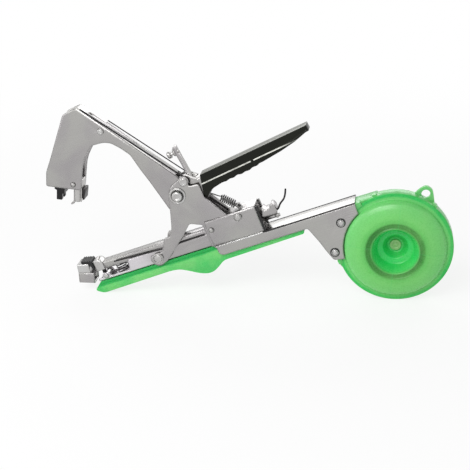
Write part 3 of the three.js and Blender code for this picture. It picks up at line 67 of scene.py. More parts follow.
cameraValues = {
    "turn": 9.8765,  # degrees round the tool from straight in front
    "height": 22.0535,  # degrees above the table
    "roll": -2.8706,  # degrees that the frame is tipped about the line of sight
    "distance": 0.890, "lens": 79.28,
    "target": (-0.01151314, 0.00245, 0.05363324),
    "nearest": 0.05,  # nothing closer to the eye than this is drawn
}


def makeCamera(values):
    # the eye lies behind the target along the line of sight, and the frame is rolled about it
    turn, height, roll = (math.radians(values[k]) for k in ("turn", "height", "roll"))
    right = Vector((math.cos(turn), math.sin(turn), 0))
    forward = Vector((-math.sin(turn) * math.cos(height), math.cos(turn) * math.cos(height),
                      -math.sin(height)))
    up = right.cross(forward)
    rolledRight = right * math.cos(roll) + up * math.sin(roll)
    rolledUp = up * math.cos(roll) - right * math.sin(roll)
    eye = Vector(values["target"]) - forward * values["distance"]
    data = bpy.data.cameras.new("camera")
    data.lens = values["lens"]
    data.clip_start = values["nearest"]
    camera = bpy.data.objects.new("camera", data)
    axes = Matrix((rolledRight, rolledUp, -forward)).transposed()
    camera.matrix_world = Matrix.Translation(eye) @ axes.to_4x4()
    scene.collection.objects.link(camera)
    scene.camera = camera


makeCamera(cameraValues)


# the nodes of one tree being wired up
class Wiring:
    def __init__(self, tree):
        self.tree = tree

    def plug(self, made, sockets):
        # a link or a plain value for each of the node's sockets
        for key, value in sockets.items():
            if isinstance(value, bpy.types.NodeSocket):
                self.tree.links.new(value, made.inputs[key])
            else:
                made.inputs[key].default_value = value

    def node(self, kind, sockets=None, **settings):
        made = self.tree.nodes.new("ShaderNode" + kind)
        for key, value in settings.items():
            setattr(made, key, value)
        self.plug(made, sockets or {})
        return made

    def sums(self, operation, first, second=0.0):
        return self.node("Math", {0: first, 1: second}, operation=operation).outputs[0]

    def times(self, first, second):
        return self.sums("MULTIPLY", first, second)

    def offset(self, value, middle):
        # how far value is from middle, either way
        return self.sums("ABSOLUTE", self.sums("SUBTRACT", value, middle))

    def spread(self, value, low, high, newLow=0.0, newHigh=1.0):
        # the range from low to high is eased on to the new range, and held at its ends
        sockets = {"Value": value, "From Min": low, "From Max": high, "To Min": newLow, "To Max": newHigh}
        return self.node("MapRange", sockets, interpolation_type="SMOOTHSTEP").outputs[0]

    def vectors(self, operation, first, second, result="Vector"):
        made = self.node("VectorMath", {0: first, 1: second}, operation=operation)
        return made.outputs[result]

    def distance(self, vector):
        return self.vectors("LENGTH", vector, (0, 0, 0), "Value")

    def axis(self, vector, which):
        return self.node("SeparateXYZ", {0: vector}).outputs[which]

    def grey(self, value):
        return self.node("CombineColor", {0: value, 1: value, 2: value}).outputs[0]

    def blendColours(self, factor, first, second, way="MIX"):
        sockets = {"Factor": factor, "A": first, "B": second}
        return self.node("Mix", sockets, data_type="RGBA", blend_type=way).outputs["Result"]

    def tinted(self, factor, base, shade):
        return self.blendColours(factor, base, colour(*shade))

    def ramp(self, factor, stops):
        made = self.node("ValToRGB", {"Fac": factor})
        elements = made.color_ramp.elements
        while len(elements) < len(stops):
            elements.new(0.5)
        for element, (place, shade) in zip(elements, stops):
            element.position = place
            element.color = colour(*shade)
        return made.outputs["Color"]

    def rounded(self, radius, samples):
        return self.node("Bevel", {"Radius": radius}, samples=samples).outputs["Normal"]

    def plainRays(self):
        # 1 for the rays that look at the stage directly, in a mirror or through glass
        path = self.node("LightPath").outputs
        direct = self.sums("MAXIMUM", path["Is Camera Ray"], path["Is Glossy Ray"])
        return self.sums("MAXIMUM", direct, path["Is Transmission Ray"])


# one material; its patterns read Object coordinates, which are in metres
class Finish(Wiring):
    def __init__(self, name):
        self.material = bpy.data.materials.new(name)
        self.material.use_nodes = True
        super().__init__(self.material.node_tree)
        self.shader = self.tree.nodes["Principled BSDF"]
        coordinates = self.node("TexCoord").outputs
        self.place, self.facing = coordinates["Object"], coordinates["Normal"]

    def turned(self, angle=0.0, scale=(1, 1, 1), centre=(0, 0, 0)):
        # Object coordinates moved so that centre is zero, turned about y, then scaled
        place = self.place
        moves = {"Location": [-c for c in centre], "Rotation": (0, angle, 0), "Scale": scale}
        for key, value in moves.items():
            place = self.node("Mapping", {"Vector": place, key: value}).outputs[0]
        return place

    def noise(self, scale, detail=3.0, rough=0.5, place=None, distortion=0.0):
        sockets = {"Vector": place or self.place, "Scale": scale, "Detail": detail, "Roughness": rough,
                   "Distortion": distortion}
        return self.node("TexNoise", sockets).outputs["Fac"]

    def wander(self, scale, reach):
        # a slow noise about zero, so that a border between two shades isn't ruled
        return self.times(self.sums("SUBTRACT", self.noise(scale, 2), 0.5), reach)

    def edges(self, radius):
        # how far the rounded normal leans away from the flat one: 0 on a face, towards 1 on an edge
        flat = self.node("NewGeometry").outputs["Normal"]
        alike = self.vectors("DOT_PRODUCT", self.rounded(radius, 4), flat, "Value")
        return self.spread(self.sums("SUBTRACT", 1.0, alike), 0.02, 0.22)

    def relief(self, height, strength, distance, bend=0.0):
        made = self.node("Bump", {"Strength": strength, "Distance": distance, "Height": height})
        if bend:  # the relief is laid over rounded bends
            self.plug(made, {"Normal": self.rounded(bend, 6)})
        self.plug(self.shader, {"Normal": made.outputs["Normal"]})


def colour(red, green, blue):
    # screen values from 0 to 255 turned into the linear ones that a shader takes
    screen = np.array([red, green, blue]) / 255
    linear = np.where(screen <= 0.04045, screen / 12.92, ((screen + 0.055) / 1.055) ** 2.4)
    return (*linear.tolist(), 1.0)


def leaned(points, turn, start):
    # (along, across, up) turned in the plane of along and up, and moved to where their own zero lies
    points = np.asarray(points, float)
    along, across, up = points[..., 0], points[..., 1], points[..., 2]
    x = start[0] + along * math.cos(turn) - up * math.sin(turn)
    z = start[2] + along * math.sin(turn) + up * math.cos(turn)
    return np.stack([x, start[1] + across, z], -1)


def onTable(points):
    # arm measures in the object's own frame, in metres
    return leaned(points, armSlope, armStart) * mm


def fromHandle(points):
    # handle measures, taken from the handle's pin, in arm measures
    return leaned(points, handleTurn, handlePin)


steelValues = {
    "body": (174, 173, 170), "tint": (166, 163, 164),
    "patch": 26.0, "patchSeen": (0.35, 0.68),  # a noise's scale, and the part of it that shows
    "streak": 1500.0, "streakSeen": (0.25, 0.75),
    "stretch": 0.04,  # across the sheet the streaks change 25 times as fast as along it
    "shade": (0.97, 1.02),  # the streaks darken and lighten the sheet by this much
    "speck": 3000.0, "speckShare": 0.3,  # the rest of the relief is the streaks'
    "roughness": (0.19, 0.30), "roughSeen": (0.35, 0.65),
    "rub": 0.4,  # how far in from an edge the sheet is rubbed bright
    "worn": (226, 226, 227), "wornShare": 0.55, "wornGloss": 0.06,
    "bump": 0.05, "depth": 0.04,
    "bend": 2.2,  # how far the rolled bends seem to reach
    "polished": None,  # from and to along the arm: a painted highlight, palest at the sheet's end and gone between the two
    # the colour of that painted highlight
    "pale": (212, 208, 212),
}


def makeSteel(name, **changes):
    # fine streaks along the rolled sheet, slow cloudy patches, and brighter rubbed edges; a sheet with a
    # painted highlight at its end goes back from pale to plain between two places along the arm
    made, values = Finish(name), {**steelValues, **changes}
    streaks = made.noise(values["streak"], 3, 0.55, made.turned(armSlope, (values["stretch"], 1, 1)))
    patches = made.noise(values["patch"], distortion=0.5)
    specks = made.noise(values["speck"], 2, 0.6)
    edge = made.edges(values["rub"] * mm)
    base = made.tinted(made.spread(patches, *values["patchSeen"]), colour(*values["body"]), values["tint"])
    shade = made.grey(made.spread(streaks, *values["streakSeen"], *values["shade"]))
    base = made.blendColours(1.0, base, shade, "MULTIPLY")
    # painted highlight: the sheet's end is paler, fading to plain along the arm
    if values["polished"]:
        along = made.axis(made.turned(armSlope, centre=onTable((0, 0, 0))), 0)
        pale = made.spread(along, *[place * mm for place in values["polished"]], 1.0, 0.0)
        base = made.tinted(pale, base, values["pale"])
    base = made.tinted(made.times(edge, values["wornShare"]), base, values["worn"])
    both = made.sums("ADD", made.times(streaks, 0.5), made.times(patches, 0.5))
    rough = made.spread(both, *values["roughSeen"], *values["roughness"])
    rough = made.sums("SUBTRACT", rough, made.times(edge, values["wornGloss"]))
    made.plug(made.shader, {"Base Color": base, "Metallic": 1.0, "Roughness": rough})
    share = values["speckShare"]
    height = made.sums("ADD", made.times(streaks, 1 - share), made.times(specks, share))
    made.relief(height, values["bump"], values["depth"] * mm, values["bend"] * mm)
    return made.material


plasticValues = {
    "patch": 28.0, "patchSeen": (0.3, 0.7),
    "grain": 1100.0, "grainSeen": (0.25, 0.75),
    "roughness": (0.22, 0.36),
    "rub": 0.5, "edge": 0.3,  # how far in from an edge the moulding is rubbed pale, and how strongly
    "bump": 0.06, "depth": 0.1,
    "density": 1.49,  # index of refraction
    "gloss": 0.5,
    "under": 0.0,  # share of light that comes back from under the surface
    "underReach": 2.5, "underColours": (0.5, 1.0, 0.5),
}


def plasticSurface(made, values, base):
    # shared by every moulding: paler rubbed edges, a slight grain and uneven gloss
    grain = made.noise(values["grain"], 3, 0.6)
    edge = made.times(made.edges(values["rub"] * mm), values["edge"])
    made.plug(made.shader, {"Base Color": made.tinted(edge, base, values["worn"]),
                            "Roughness": made.spread(grain, *values["grainSeen"], *values["roughness"]),
                            "IOR": values["density"], "Specular IOR Level": values["gloss"]})
    if values["under"]:
        made.plug(made.shader, {"Subsurface Weight": values["under"],
                                "Subsurface Radius": values["underColours"],
                                "Subsurface Scale": values["underReach"] * mm})
    made.relief(grain, values["bump"], values["depth"] * mm)
    return made.material


def mottled(made, values):
    # two shades of one plastic, mixed in slow patches
    patches = made.spread(made.noise(values["patch"], distortion=0.6), *values["patchSeen"])
    return made.tinted(patches, colour(*values["body"]), values["deep"])


def makePlastic(name, **changes):
    made, values = Finish(name), {**plasticValues, **changes}
    return plasticSurface(made, values, mottled(made, values))


reelFinishValues = {
    **plasticValues,
    "reach": 50.0,
    "rings": [  # distance from the axle as a share of reach, and the colour there: the roll and core showing through, and painted shade in the dark ring near 0.42 to 0.48
        (0.00, (70, 204, 104)), (0.13, (34, 200, 92)), (0.17, (16, 196, 86)), (0.25, (34, 210, 100)),
        (0.31, (22, 204, 92)), (0.37, (58, 208, 104)), (0.395, (70, 176, 80)), (0.42, (34, 120, 34)),
        (0.48, (42, 132, 40)), (0.515, (92, 192, 90)), (0.60, (114, 206, 108)), (0.80, (112, 206, 114)),
        (0.885, (98, 206, 108)), (0.915, (10, 190, 84)), (0.955, (6, 184, 74)), (1.00, (14, 194, 86)),
    ],
    "wander": 1.2, "wanderScale": 60.0,  # how far the rings stray from true circles
    "cloud": (136, 214, 116), "cloudShare": 0.3, "cloudScale": 24.0, "cloudSeen": (0.3, 0.75),
    "rib": (70, 200, 104), "ribShare": 0.22, "ribWidth": (0.25, 0.6),
    "ribs": 4, "ribTurn": 0.1,
    # painted shade on walls that face down: its colour, how much of it, and the lean of the normal over
    # which it fades in
    "lower": (34, 190, 80), "underShadeShare": 0.0, "underShadeLean": (-0.6, 0.2),
    "worn": (150, 232, 160),
    "under": 0.25,
}


def makeReelFinish(name, values):
    # colour by distance from the axle: rings for the wound roll and its core seen through the moulding,
    # with painted shade in their dark bands
    made = Finish(name)
    flat = made.vectors("MULTIPLY", made.turned(centre=onTable(reelCentre)), (1, 0, 1))
    distance = made.distance(flat)
    share = made.sums("ADD", distance, made.wander(values["wanderScale"], values["wander"] * mm))
    # the rings hold painted shade in their dark bands
    base = made.ramp(made.sums("DIVIDE", share, values["reach"] * mm), values["rings"])
    cloud = made.spread(made.noise(values["cloudScale"], 3, 0.55, distortion=0.8), *values["cloudSeen"])
    base = made.tinted(made.times(cloud, values["cloudShare"]), base, values["cloud"])
    # faint ribs: the angle round the axle, folded into equal parts, is near zero along each rib
    angle = made.sums("ARCTAN2", made.axis(flat, 2), made.axis(flat, 0))
    angle = made.sums("ADD", angle, math.pi + values["ribTurn"])
    folded = made.sums("PINGPONG", angle, math.pi / values["ribs"])
    width = [edge * mm for edge in values["ribWidth"]]
    rib = made.spread(made.times(folded, distance), *width, values["ribShare"], 0.0)
    base = made.tinted(rib, base, values["rib"])
    if values["underShadeShare"]:
        # painted shade: a deeper green where the wall faces down, standing in for light that reaches it
        # only through the plastic
        upward = made.axis(made.facing, 2)
        paintedUnderShade = made.spread(upward, *values["underShadeLean"], values["underShadeShare"], 0.0)
        base = made.tinted(paintedUnderShade, base, values["lower"])
    return plasticSurface(made, values, base)


caseFinishValues = {
    **reelFinishValues,
    # the wound roll and its core seen through the case back as painted shade: darker bands near 0.34 to
    # 0.38 and at 0.735
    "rings": [
        (0.00, (104, 198, 116)), (0.10, (120, 206, 128)), (0.30, (96, 192, 106)), (0.34, (62, 164, 78)),
        (0.38, (58, 160, 72)), (0.41, (88, 186, 96)), (0.70, (92, 188, 100)), (0.735, (74, 176, 86)),
        (0.77, (110, 200, 118)), (0.86, (116, 202, 122)), (0.90, (84, 190, 100)), (1.00, (112, 200, 120)),
    ],
    "ribs": 6, "ribTurn": 0.4,
    # the case's down-facing walls get painted shade
    "underShadeShare": 0.85,
    "worn": (170, 224, 164), "edge": 0.45,
    "under": 0.35,
}

underGripValues = {
    **plasticValues,
    # the wall's colour holds painted shade from the steel behind it
    "wall": (20, 170, 76), "belly": (70, 200, 100),
    "pale": (120, 212, 118), "paleScale": 30.0, "paleSeen": (0.35, 0.7),  # pale patches on the belly, a painted highlight for its glassy sheen
    "level": -4.2, "border": 0.9,  # arm height where the wall under the channel turns into the belly
    "wander": 3.0, "wanderScale": 45.0,
    "worn": (150, 236, 150),
    "under": 0.25,
}


def makeUnderGripFinish(name, values):
    # painted shade: the upper wall is darker where the steel stands behind it, and the belly lighter where
    # light comes through
    made = Finish(name)
    place = made.turned(armSlope, centre=onTable((0, 0, values["level"])))
    wander = made.wander(values["wanderScale"], values["wander"] * mm)
    height = made.sums("ADD", made.axis(place, 2), wander)
    # painted highlight: pale patches on the belly
    patches = made.spread(made.noise(values["paleScale"], distortion=0.6), *values["paleSeen"])
    belly = made.tinted(patches, colour(*values["belly"]), values["pale"])
    # painted shade on the wall above the border
    wall = made.spread(height, -values["border"] * mm, values["border"] * mm)
    return plasticSurface(made, values, made.tinted(wall, belly, values["wall"]))


gripFinishValues = {
    **plasticValues,
    "body": (22, 24, 15), "deep": (15, 17, 10), "worn": (58, 62, 50),
    "roughness": (0.14, 0.24), "bump": 0.04, "gloss": 0.2,
    "topReflection": (84, 86, 72), "topReflectionLean": (0.86, 0.97),  # a painted reflection where the sleeve faces up
    "ledgeHighlight": (226, 227, 218),  # a painted highlight along the ledge on both sides
    "ridgeLevel": -8.9, "ridgeHalf": 0.6,
    "ridgeEnd": 92.0, "ridgeFade": 8.0, "ridgeShares": (0.95, 0.25),
    "patchy": 160.0, "patchySeen": (0.3, 0.55), "patchyShares": (0.6, 1.0),
    "tab": gripJoint, "tabHalf": 1.1, "tabFade": 0.5,  # a short dark tab interrupts the ledge and its painted highlight
}


def makeGripFinish(name, values):
    # black moulding with a painted reflection on top, where it faces up; a painted highlight runs along the
    # ledge in a band that thins out towards the rear
    made = Finish(name)
    slope = armSlope + handleTurn
    upward = made.vectors("DOT_PRODUCT", made.facing, (-math.sin(slope), 0, math.cos(slope)), "Value")
    # painted reflection on the faces that face up
    base = made.tinted(made.spread(upward, *values["topReflectionLean"]), mottled(made, values), values["topReflection"])
    place = made.turned(slope, centre=onTable(handlePin))
    up, along = made.axis(place, 2), made.axis(place, 0)
    half = values["ridgeHalf"] * mm
    # painted highlight along the ledge, thinned towards the rear, broken up, and stopped at the tab
    ledgeHighlight = made.spread(made.offset(up, values["ridgeLevel"] * mm), half / 2, half, 1.0, 0.0)
    end, fade = values["ridgeEnd"], values["ridgeFade"]
    fading = made.spread(along, (end - fade) * mm, (end + fade) * mm, *values["ridgeShares"])
    patchy = made.spread(made.noise(values["patchy"], 2), *values["patchySeen"], *values["patchyShares"])
    half, fade = values["tabHalf"], values["tabFade"]
    tab = made.spread(made.offset(along, values["tab"] * mm), half * mm, (half + fade) * mm)
    for factor in (fading, patchy, tab):
        ledgeHighlight = made.times(ledgeHighlight, factor)
    return plasticSurface(made, values, made.tinted(ledgeHighlight, base, values["ledgeHighlight"]))


finishes = {
    "steel": makeSteel("satinSteel"),
    "bright": makeSteel("zincPlate", body=(196, 196, 195), tint=(182, 180, 178), roughness=(0.16, 0.26)),
    # the base sheet carries a painted highlight at its front end
    "base": makeSteel("baseSteel", polished=(40, 72)),
    "case": makeReelFinish("caseGreen", caseFinishValues),
    "dark": makeSteel("blackedSteel", body=(46, 46, 48), tint=(62, 60, 60), worn=(120, 120, 120),
                      roughness=(0.28, 0.42)),
    "spring": makeSteel("springSteel", body=(122, 121, 120), tint=(100, 99, 98), worn=(190, 190, 190),
                        roughness=(0.2, 0.32)),
    "pad": makePlastic("blackRubber", body=(24, 24, 25), deep=(18, 18, 19), worn=(50, 50, 50),
                       roughness=(0.45, 0.65)),
    "grip": makeGripFinish("blackGrip", gripFinishValues),
    "green": makeUnderGripFinish("underGripGreen", underGripValues),
    "clear": makeReelFinish("reelGreen", reelFinishValues),
    "beige": makePlastic("axleBeige", body=(158, 200, 132), deep=(140, 188, 120), worn=(196, 200, 160)),
    "tape": makePlastic("tapeGreen", body=(150, 214, 150), deep=(128, 204, 134), worn=(150, 230, 160),
                        under=0.2),
}
print("materials made:", len(finishes))


def gridFaces(count, rows, columns, capped):
    # quads between neighbouring rows and columns of each grid, where the last column joins the first;
    # a capped grid also has one many-sided face over its first row and one over its last
    row, column = np.arange(rows - 1)[:, None], np.arange(columns)[None, :]
    here, below, after = row * columns, (row + 1) * columns, (column + 1) % columns
    quads = np.stack([here + column, here + after, below + after, below + column], -1)
    starts = np.arange(count)[:, None, None] * rows * columns
    faces = (quads.reshape(-1, 4) + starts).reshape(-1, 4).tolist()
    if capped:
        ends = np.arange(rows * columns).reshape(rows, columns)[[0, -1]]
        faces += (ends + starts).reshape(-1, columns).tolist()
    return faces


meshValues = {
    "weld": 0.002,  # points closer than this become one
    "sliver": 0.001,  # shorter edges than this are dissolved
    "sharp": 34,  # an edge that turns by more degrees than this stays crisp
}


def smoothFaces(mesh):
    mesh.polygons.foreach_set("use_smooth", [True] * len(mesh.polygons))


def addPiece(name, points, finish, body, stands, sharp=meshValues["sharp"], capped=False):
    # points hold one grid of rows and columns, or several alike; doubles at seams and poles are merged,
    # faces are turned outward, and the piece rides on its body
    rows, columns = points.shape[-3:-1]
    points = points.reshape(-1, 3)
    mesh = bpy.data.meshes.new(name)
    mesh.from_pydata(points.tolist(), [], gridFaces(len(points) // (rows * columns), rows, columns, capped))
    work = bmesh.new()
    work.from_mesh(mesh)
    bmesh.ops.remove_doubles(work, verts=work.verts, dist=meshValues["weld"] * mm)
    bmesh.ops.dissolve_degenerate(work, edges=work.edges, dist=meshValues["sliver"] * mm)
    bmesh.ops.recalc_face_normals(work, faces=work.faces)
    work.to_mesh(mesh)
    work.free()
    smoothFaces(mesh)
    mesh.set_sharp_from_angle(angle=math.radians(sharp))
    mesh.materials.append(finishes[finish])
    piece = bpy.data.objects.new(name, mesh)
    scene.collection.objects.link(piece)
    if body:
        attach(piece, body)
    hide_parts(*stands)
    return piece


def roundCorners(corners, cut, steps=4, closed=True):
    # each corner becomes a short curve: a point slides from one side to the other, weighted by the
    # squares of its distance from both ends; corners lie along the last axis but one, and a cut stops
    # just short of its side's middle
    corners = np.asarray(corners, float)
    before, after = np.roll(corners, 1, -2), np.roll(corners, -1, -2)
    cut = np.broadcast_to(np.asarray(cut, float), corners.shape[:-1])[..., None]

    def towards(other):
        way = other - corners
        size = np.linalg.norm(way, axis=-1, keepdims=True)
        return corners + way / np.maximum(size, 1e-9) * np.minimum(cut, size * 0.48)

    first, last = towards(before), towards(after)
    if not closed:
        for end in (0, -1):
            first[..., end, :] = last[..., end, :] = corners[..., end, :]
    share = np.linspace(0, 1, steps)[:, None]
    curve = ((1 - share) ** 2 * first[..., None, :] + 2 * share * (1 - share) * corners[..., None, :]
             + share ** 2 * last[..., None, :])
    return curve.reshape(*corners.shape[:-2], -1, corners.shape[-1])


def asRing(profile):
    # the outline comes back to its first point
    return np.concatenate([profile, profile[:1]])


def turnPiece(name, profile, centre, around, finish, body, stands, sharp=50, widest=None):
    # each profile point (radius, across) is carried round the tool's crosswise axis through centre;
    # widest gives the largest radius at each angle
    profile = np.asarray(profile, float)
    angle = np.arange(around) * 2 * math.pi / around
    radius = np.repeat(profile[:, :1], around, 1)
    if widest:
        radius = np.minimum(radius, widest(np.degrees(angle))[None, :])
    across = np.repeat(profile[:, 1:], around, 1)
    points = np.stack([centre[0] + radius * np.cos(angle), across, centre[-1] + radius * np.sin(angle)], -1)
    addPiece(name, onTable(points), finish, body, stands, sharp)


def smoothPath(points, guides, step, blur):
    # the path is walked at even steps, then every point becomes the mean of its neighbours
    reach = np.concatenate([[0], np.cumsum(np.linalg.norm(np.diff(points, axis=0), axis=1))])
    count = max(8, int(reach[-1] / step))
    at = np.linspace(0, reach[-1], count)
    both = np.concatenate([points, guides], 1)
    even = np.stack([np.interp(at, reach, both[:, k]) for k in range(6)], 1)
    padded = np.pad(even, ((blur, blur), (0, 0)), mode="edge")
    soft = np.stack([np.convolve(padded[:, k], np.ones(2 * blur + 1) / (2 * blur + 1), "valid")
                     for k in range(6)], 1)
    soft[0], soft[-1] = even[0], even[-1]
    return soft[:, :3], soft[:, 3:]


domeRings = np.array([[1.0, 0.03], [0.87, 0.5], [0.5, 0.87]])  # a wire's end: how far out, how wide


def tube(points, guides, radius, sides=12):
    # rings stand square to the path; their first spoke follows the guide; both ends are domed
    tangent = np.gradient(points, axis=0)
    tangent /= np.linalg.norm(tangent, axis=1, keepdims=True)
    out, wide, count = domeRings[:, :1], domeRings[:, 1], len(domeRings)
    points = np.concatenate([points[0] - tangent[0] * out * radius, points,
                             points[-1] + tangent[-1] * out[::-1] * radius])
    tangent = np.pad(tangent, ((count, count), (0, 0)), mode="edge")
    guides = np.pad(guides, ((count, count), (0, 0)), mode="edge")
    size = radius * np.concatenate([wide, np.ones(len(points) - 2 * count), wide[::-1]])
    side = guides - tangent * np.sum(guides * tangent, 1, keepdims=True)
    side /= np.linalg.norm(side, axis=1, keepdims=True)
    angle = np.arange(sides)[:, None] * 2 * math.pi / sides
    spokes = np.cos(angle) * side[:, None] + np.sin(angle) * np.cross(tangent, side)[:, None]
    return onTable(points[:, None] + size[:, None, None] * spokes)


reelValues = {
    "radius": 47.8, "rimFace": -8.1, "rise": 9.8, "bore": 2.3,
    "around": 240, "cut": 0.9,
    "clear": 42.5,  # the cover stays inside this radius where the rail's plates pass
    "clearFrom": 119, "clearTo": 171,
    "outside": [  # shares of the radius and of the rise, from the axle outward
        (0, -.735), (.138, -.735), (.155, -.63), (.205, -.32), (.222, -.2), (.301, -.11), (.322, -.03),
        (.343, .22), (.385, .73), (.406, .95), (.423, 1), (.439, .93), (.494, .93), (.51, 1), (.596, .96),
        (.69, .855), (.774, .7), (.838, .52), (.872, .33), (.886, .17), (.893, 0),
    ],
    "inside": [
        (.878, -.155), (.864, -.02), (.853, .13), (.842, .26), (.812, .4), (.757, .56), (.68, .7),
        (.59, .8), (.5, .825), (.436, .82), (.418, .7), (.376, .18), (.352, -.13), (.314, -.26),
        (.245, -.33), (.232, -.43), (.188, -.77), (.176, -.89), (0, -.89),
    ],
    "rim": [(47.4, -8.1), (47.8, -7.7), (47.8, -6.6), (45.8, -6.6), (45.8, -5.0), (44.1, -5.0),
            (44.1, -6.6)],
}


def makeReelCover(values):
    # a dished dome turned round the axle: rise above the rim by radius, then the lip, then the inner wall
    def wall(shares):
        return (0, values["rimFace"]) + np.array(shares) * (values["radius"], -values["rise"])

    profile = np.concatenate([wall(values["outside"]), values["rim"], wall(values["inside"])])
    profile[:, 0] = np.maximum(profile[:, 0], values["bore"])

    def widest(degrees):
        inside = (degrees >= values["clearFrom"]) & (degrees <= values["clearTo"])
        return np.where(inside, values["clear"], np.inf)

    profile = asRing(roundCorners(profile, values["cut"], 5))
    turnPiece("reelCoverDome", profile, reelCentre, values["around"], "clear", "cover", ["reel_cover"],
              widest=widest)


makeReelCover(reelValues)

axleValues = {
    "outline": [(0, -2.6), (1.3, -2.6), (1.7, -2.2), (2.3, -2.2), (2.7, -2.6), (4.3, -2.6), (4.7, -2.2),
                (4.7, -1.2), (2.0, -1.2), (2.0, 5.3), (1.6, 5.7), (0, 5.7)],
    "cut": 0.3, "around": 48,
}


def makeAxle(values):
    # a turned screw: dished head, straight shank, softened end
    profile = roundCorners(values["outline"], values["cut"], closed=False)
    turnPiece("reelAxle", profile, reelCentre, values["around"], "beige", "cover", ["reel_spindle"], 34)


makeAxle(axleValues)

rollValues = {
    "inner": 19.12, "outer": 36.33, "half": 5.5, "around": 128,
    "layers": 44, "samples": 6, "depth": 0.10,
    "coreInner": 17.02, "coreOuter": 18.82, "coreAround": 96,
    "cut": 0.3,
}


def makeRoll(values):
    # the faces of the roll rise and fall by a cosine of radius, one wave for each visible layer
    inner, outer, half, cut, samples = (values[k] for k in ("inner", "outer", "half", "cut", "samples"))
    radius = np.linspace(inner + cut, outer - cut, values["layers"] * samples)
    wave = values["depth"] * (1 - np.cos(2 * math.pi * np.arange(len(radius)) / samples)) / 2
    near = np.stack([radius, wave - half], 1)
    profile = np.concatenate([near, [(outer, cut - half), (outer, half - cut)], near[::-1] * (1, -1),
                              [(inner, half - cut), (inner, cut - half)]])
    turnPiece("woundTape", asRing(profile), reelCentre, values["around"], "tape", "roll", ["tape_roll"], 60)
    low, high = values["coreInner"], values["coreOuter"]
    profile = roundCorners([(low, -half), (high, -half), (high, half), (low, half)], cut)
    turnPiece("rollCore", asRing(profile), reelCentre, values["coreAround"], "tape", "roll", ["roll_core"],
              34)


makeRoll(rollValues)
print("reel cover, axle and roll made")


gripValues = {
    "from": 15.0, "to": 114.7, "stations": 320,
    "footFrom": 9.3, "footTo": 27.0,  # the front edge leans forward to the lever's foot
    "top": -1.2, "roof": 1.2,
    "half": 7.2, "upperHalf": 6.5,  # half widths below and above the ledge
    "wall": 1.25,
    "ledge": 7.7, "ledgeShare": 0.72,  # how far it lies below the top, at most this share of the height
    "ledgeRise": 0.3, "ledgeDrop": 0.45,
    "belly": 0.6, "lowerWidth": 0.9,  # the side draws in from this share of its height down
    "lowerPlaces": [0, 9.3, 12.6, 15.8, 20.2, 28.2, 36, 44.1, 50, 55.1, 66.9, 86.5, 100, 112],
    "lowerEdge": [-19.9, -19.9, -21.1, -18, -16.4, -15.3, -15.4, -15, -15.4, -15.1, -13.9, -12, -9.8, -6.5],
    "blur": 9,  # stations that the lower edge is smoothed over
    "ripple": 0.3, "rippleLength": 7.4, "rippleFrom": 31.0, "rippleTo": 68.2,
    "joint": gripJoint, "jointDepth": 0.45, "jointWidth": 0.7,
    "closed": 108.0, "slit": 0.35, "slitHeight": 0.3,  # behind this place the sleeve is all but solid
    "endRound": 1.6, "endShrink": 0.25,
    "cuts": [0.6, 0.3, 0.45, 1.6, 0.5, 0.15, 0.3],
}


def makeGrip(values):
    # a channel section carried along the handle: its lower edge follows the finger line with a fine
    # ripple, a ledge runs along both sides, the front leans forward to the foot and the rear is rounded
    x = np.linspace(values["from"], values["to"], values["stations"])
    share = np.clip((x - values["from"]) / (values["footTo"] - values["from"]), 0, 1)
    foot = x - (values["from"] - values["footFrom"]) * (1 - share)
    low = np.interp(foot, values["lowerPlaces"], values["lowerEdge"])
    kernel = np.hanning(values["blur"])
    low = np.convolve(np.pad(low, values["blur"] // 2, mode="edge"), kernel / kernel.sum(), "valid")
    inRipple = (x > values["rippleFrom"]) & (x < values["rippleTo"])
    wave = np.sin(2 * math.pi * (x - values["rippleFrom"]) / values["rippleLength"])
    low = low - inRipple * values["ripple"] * wave
    top = np.full_like(x, values["top"])
    rear = np.clip((values["to"] - x) / values["endRound"], 0, 1)
    shrink = np.sqrt(1 - (1 - rear) ** 2) * values["endShrink"] + 1 - values["endShrink"]
    ledge = top - np.minimum(values["ledge"], (top - low) * values["ledgeShare"])
    notch = values["jointDepth"] * np.exp(-((x - values["joint"]) / values["jointWidth"]) ** 2)
    half, upper = (values["half"] - notch) * shrink, values["upperHalf"] * shrink
    hollow = x < values["closed"]
    inner = np.where(hollow, values["half"] - values["wall"], values["slit"])
    ceiling = np.where(hollow, top - values["roof"], low + values["slitHeight"])
    right = np.stack([np.stack(pair, -1) for pair in [
        (upper, top), (upper, ledge + values["ledgeRise"]), (half, ledge - values["ledgeDrop"]),
        (half, ledge - (ledge - low) * values["belly"]), (half * values["lowerWidth"], low),
        (inner, low), (inner, ceiling)]], 1)
    left = right[:, ::-1] * (-1, 1)
    section = roundCorners(np.concatenate([right, left], 1), values["cuts"] + values["cuts"][::-1], 5)
    across, up = section[..., 0], section[..., 1]
    lean = (top[:, None] - up) / (top - low)[:, None]
    along = x[:, None] + (foot - x)[:, None] * lean
    points = onTable(fromHandle(np.stack([along, across, up], -1)))
    addPiece("gripSleeve", points, "grip", "handle", ["grip"], 28, capped=True)


makeGrip(gripValues)
print("grip made")


springValues = {
    "start": (123.657, 0, 45.827), "end": (143.2045, 0, 25.2),
    "wire": 0.5, "coil": 3.1, "turns": 8, "pitch": 1.75, "coilStart": 11.6,
    "opening": 0.3, "firstCoil": 0.25,  # turns over which the coil widens, and the share it starts at
    "pinHook": 1.95, "pinArc": (0.9, -0.42),  # a hook's radius, and its ends in half turns
    "studHook": 2.3, "studArc": (0.75, -0.6),
    "hookRuns": (2.2, 2.1),  # the straight runs begin this many hook radii away
    "coilRuns": (2.6, 1.6), "aside": (-0.5, 0.2),
    "hookSteps": 40, "turnSteps": 28, "step": 0.35,
}


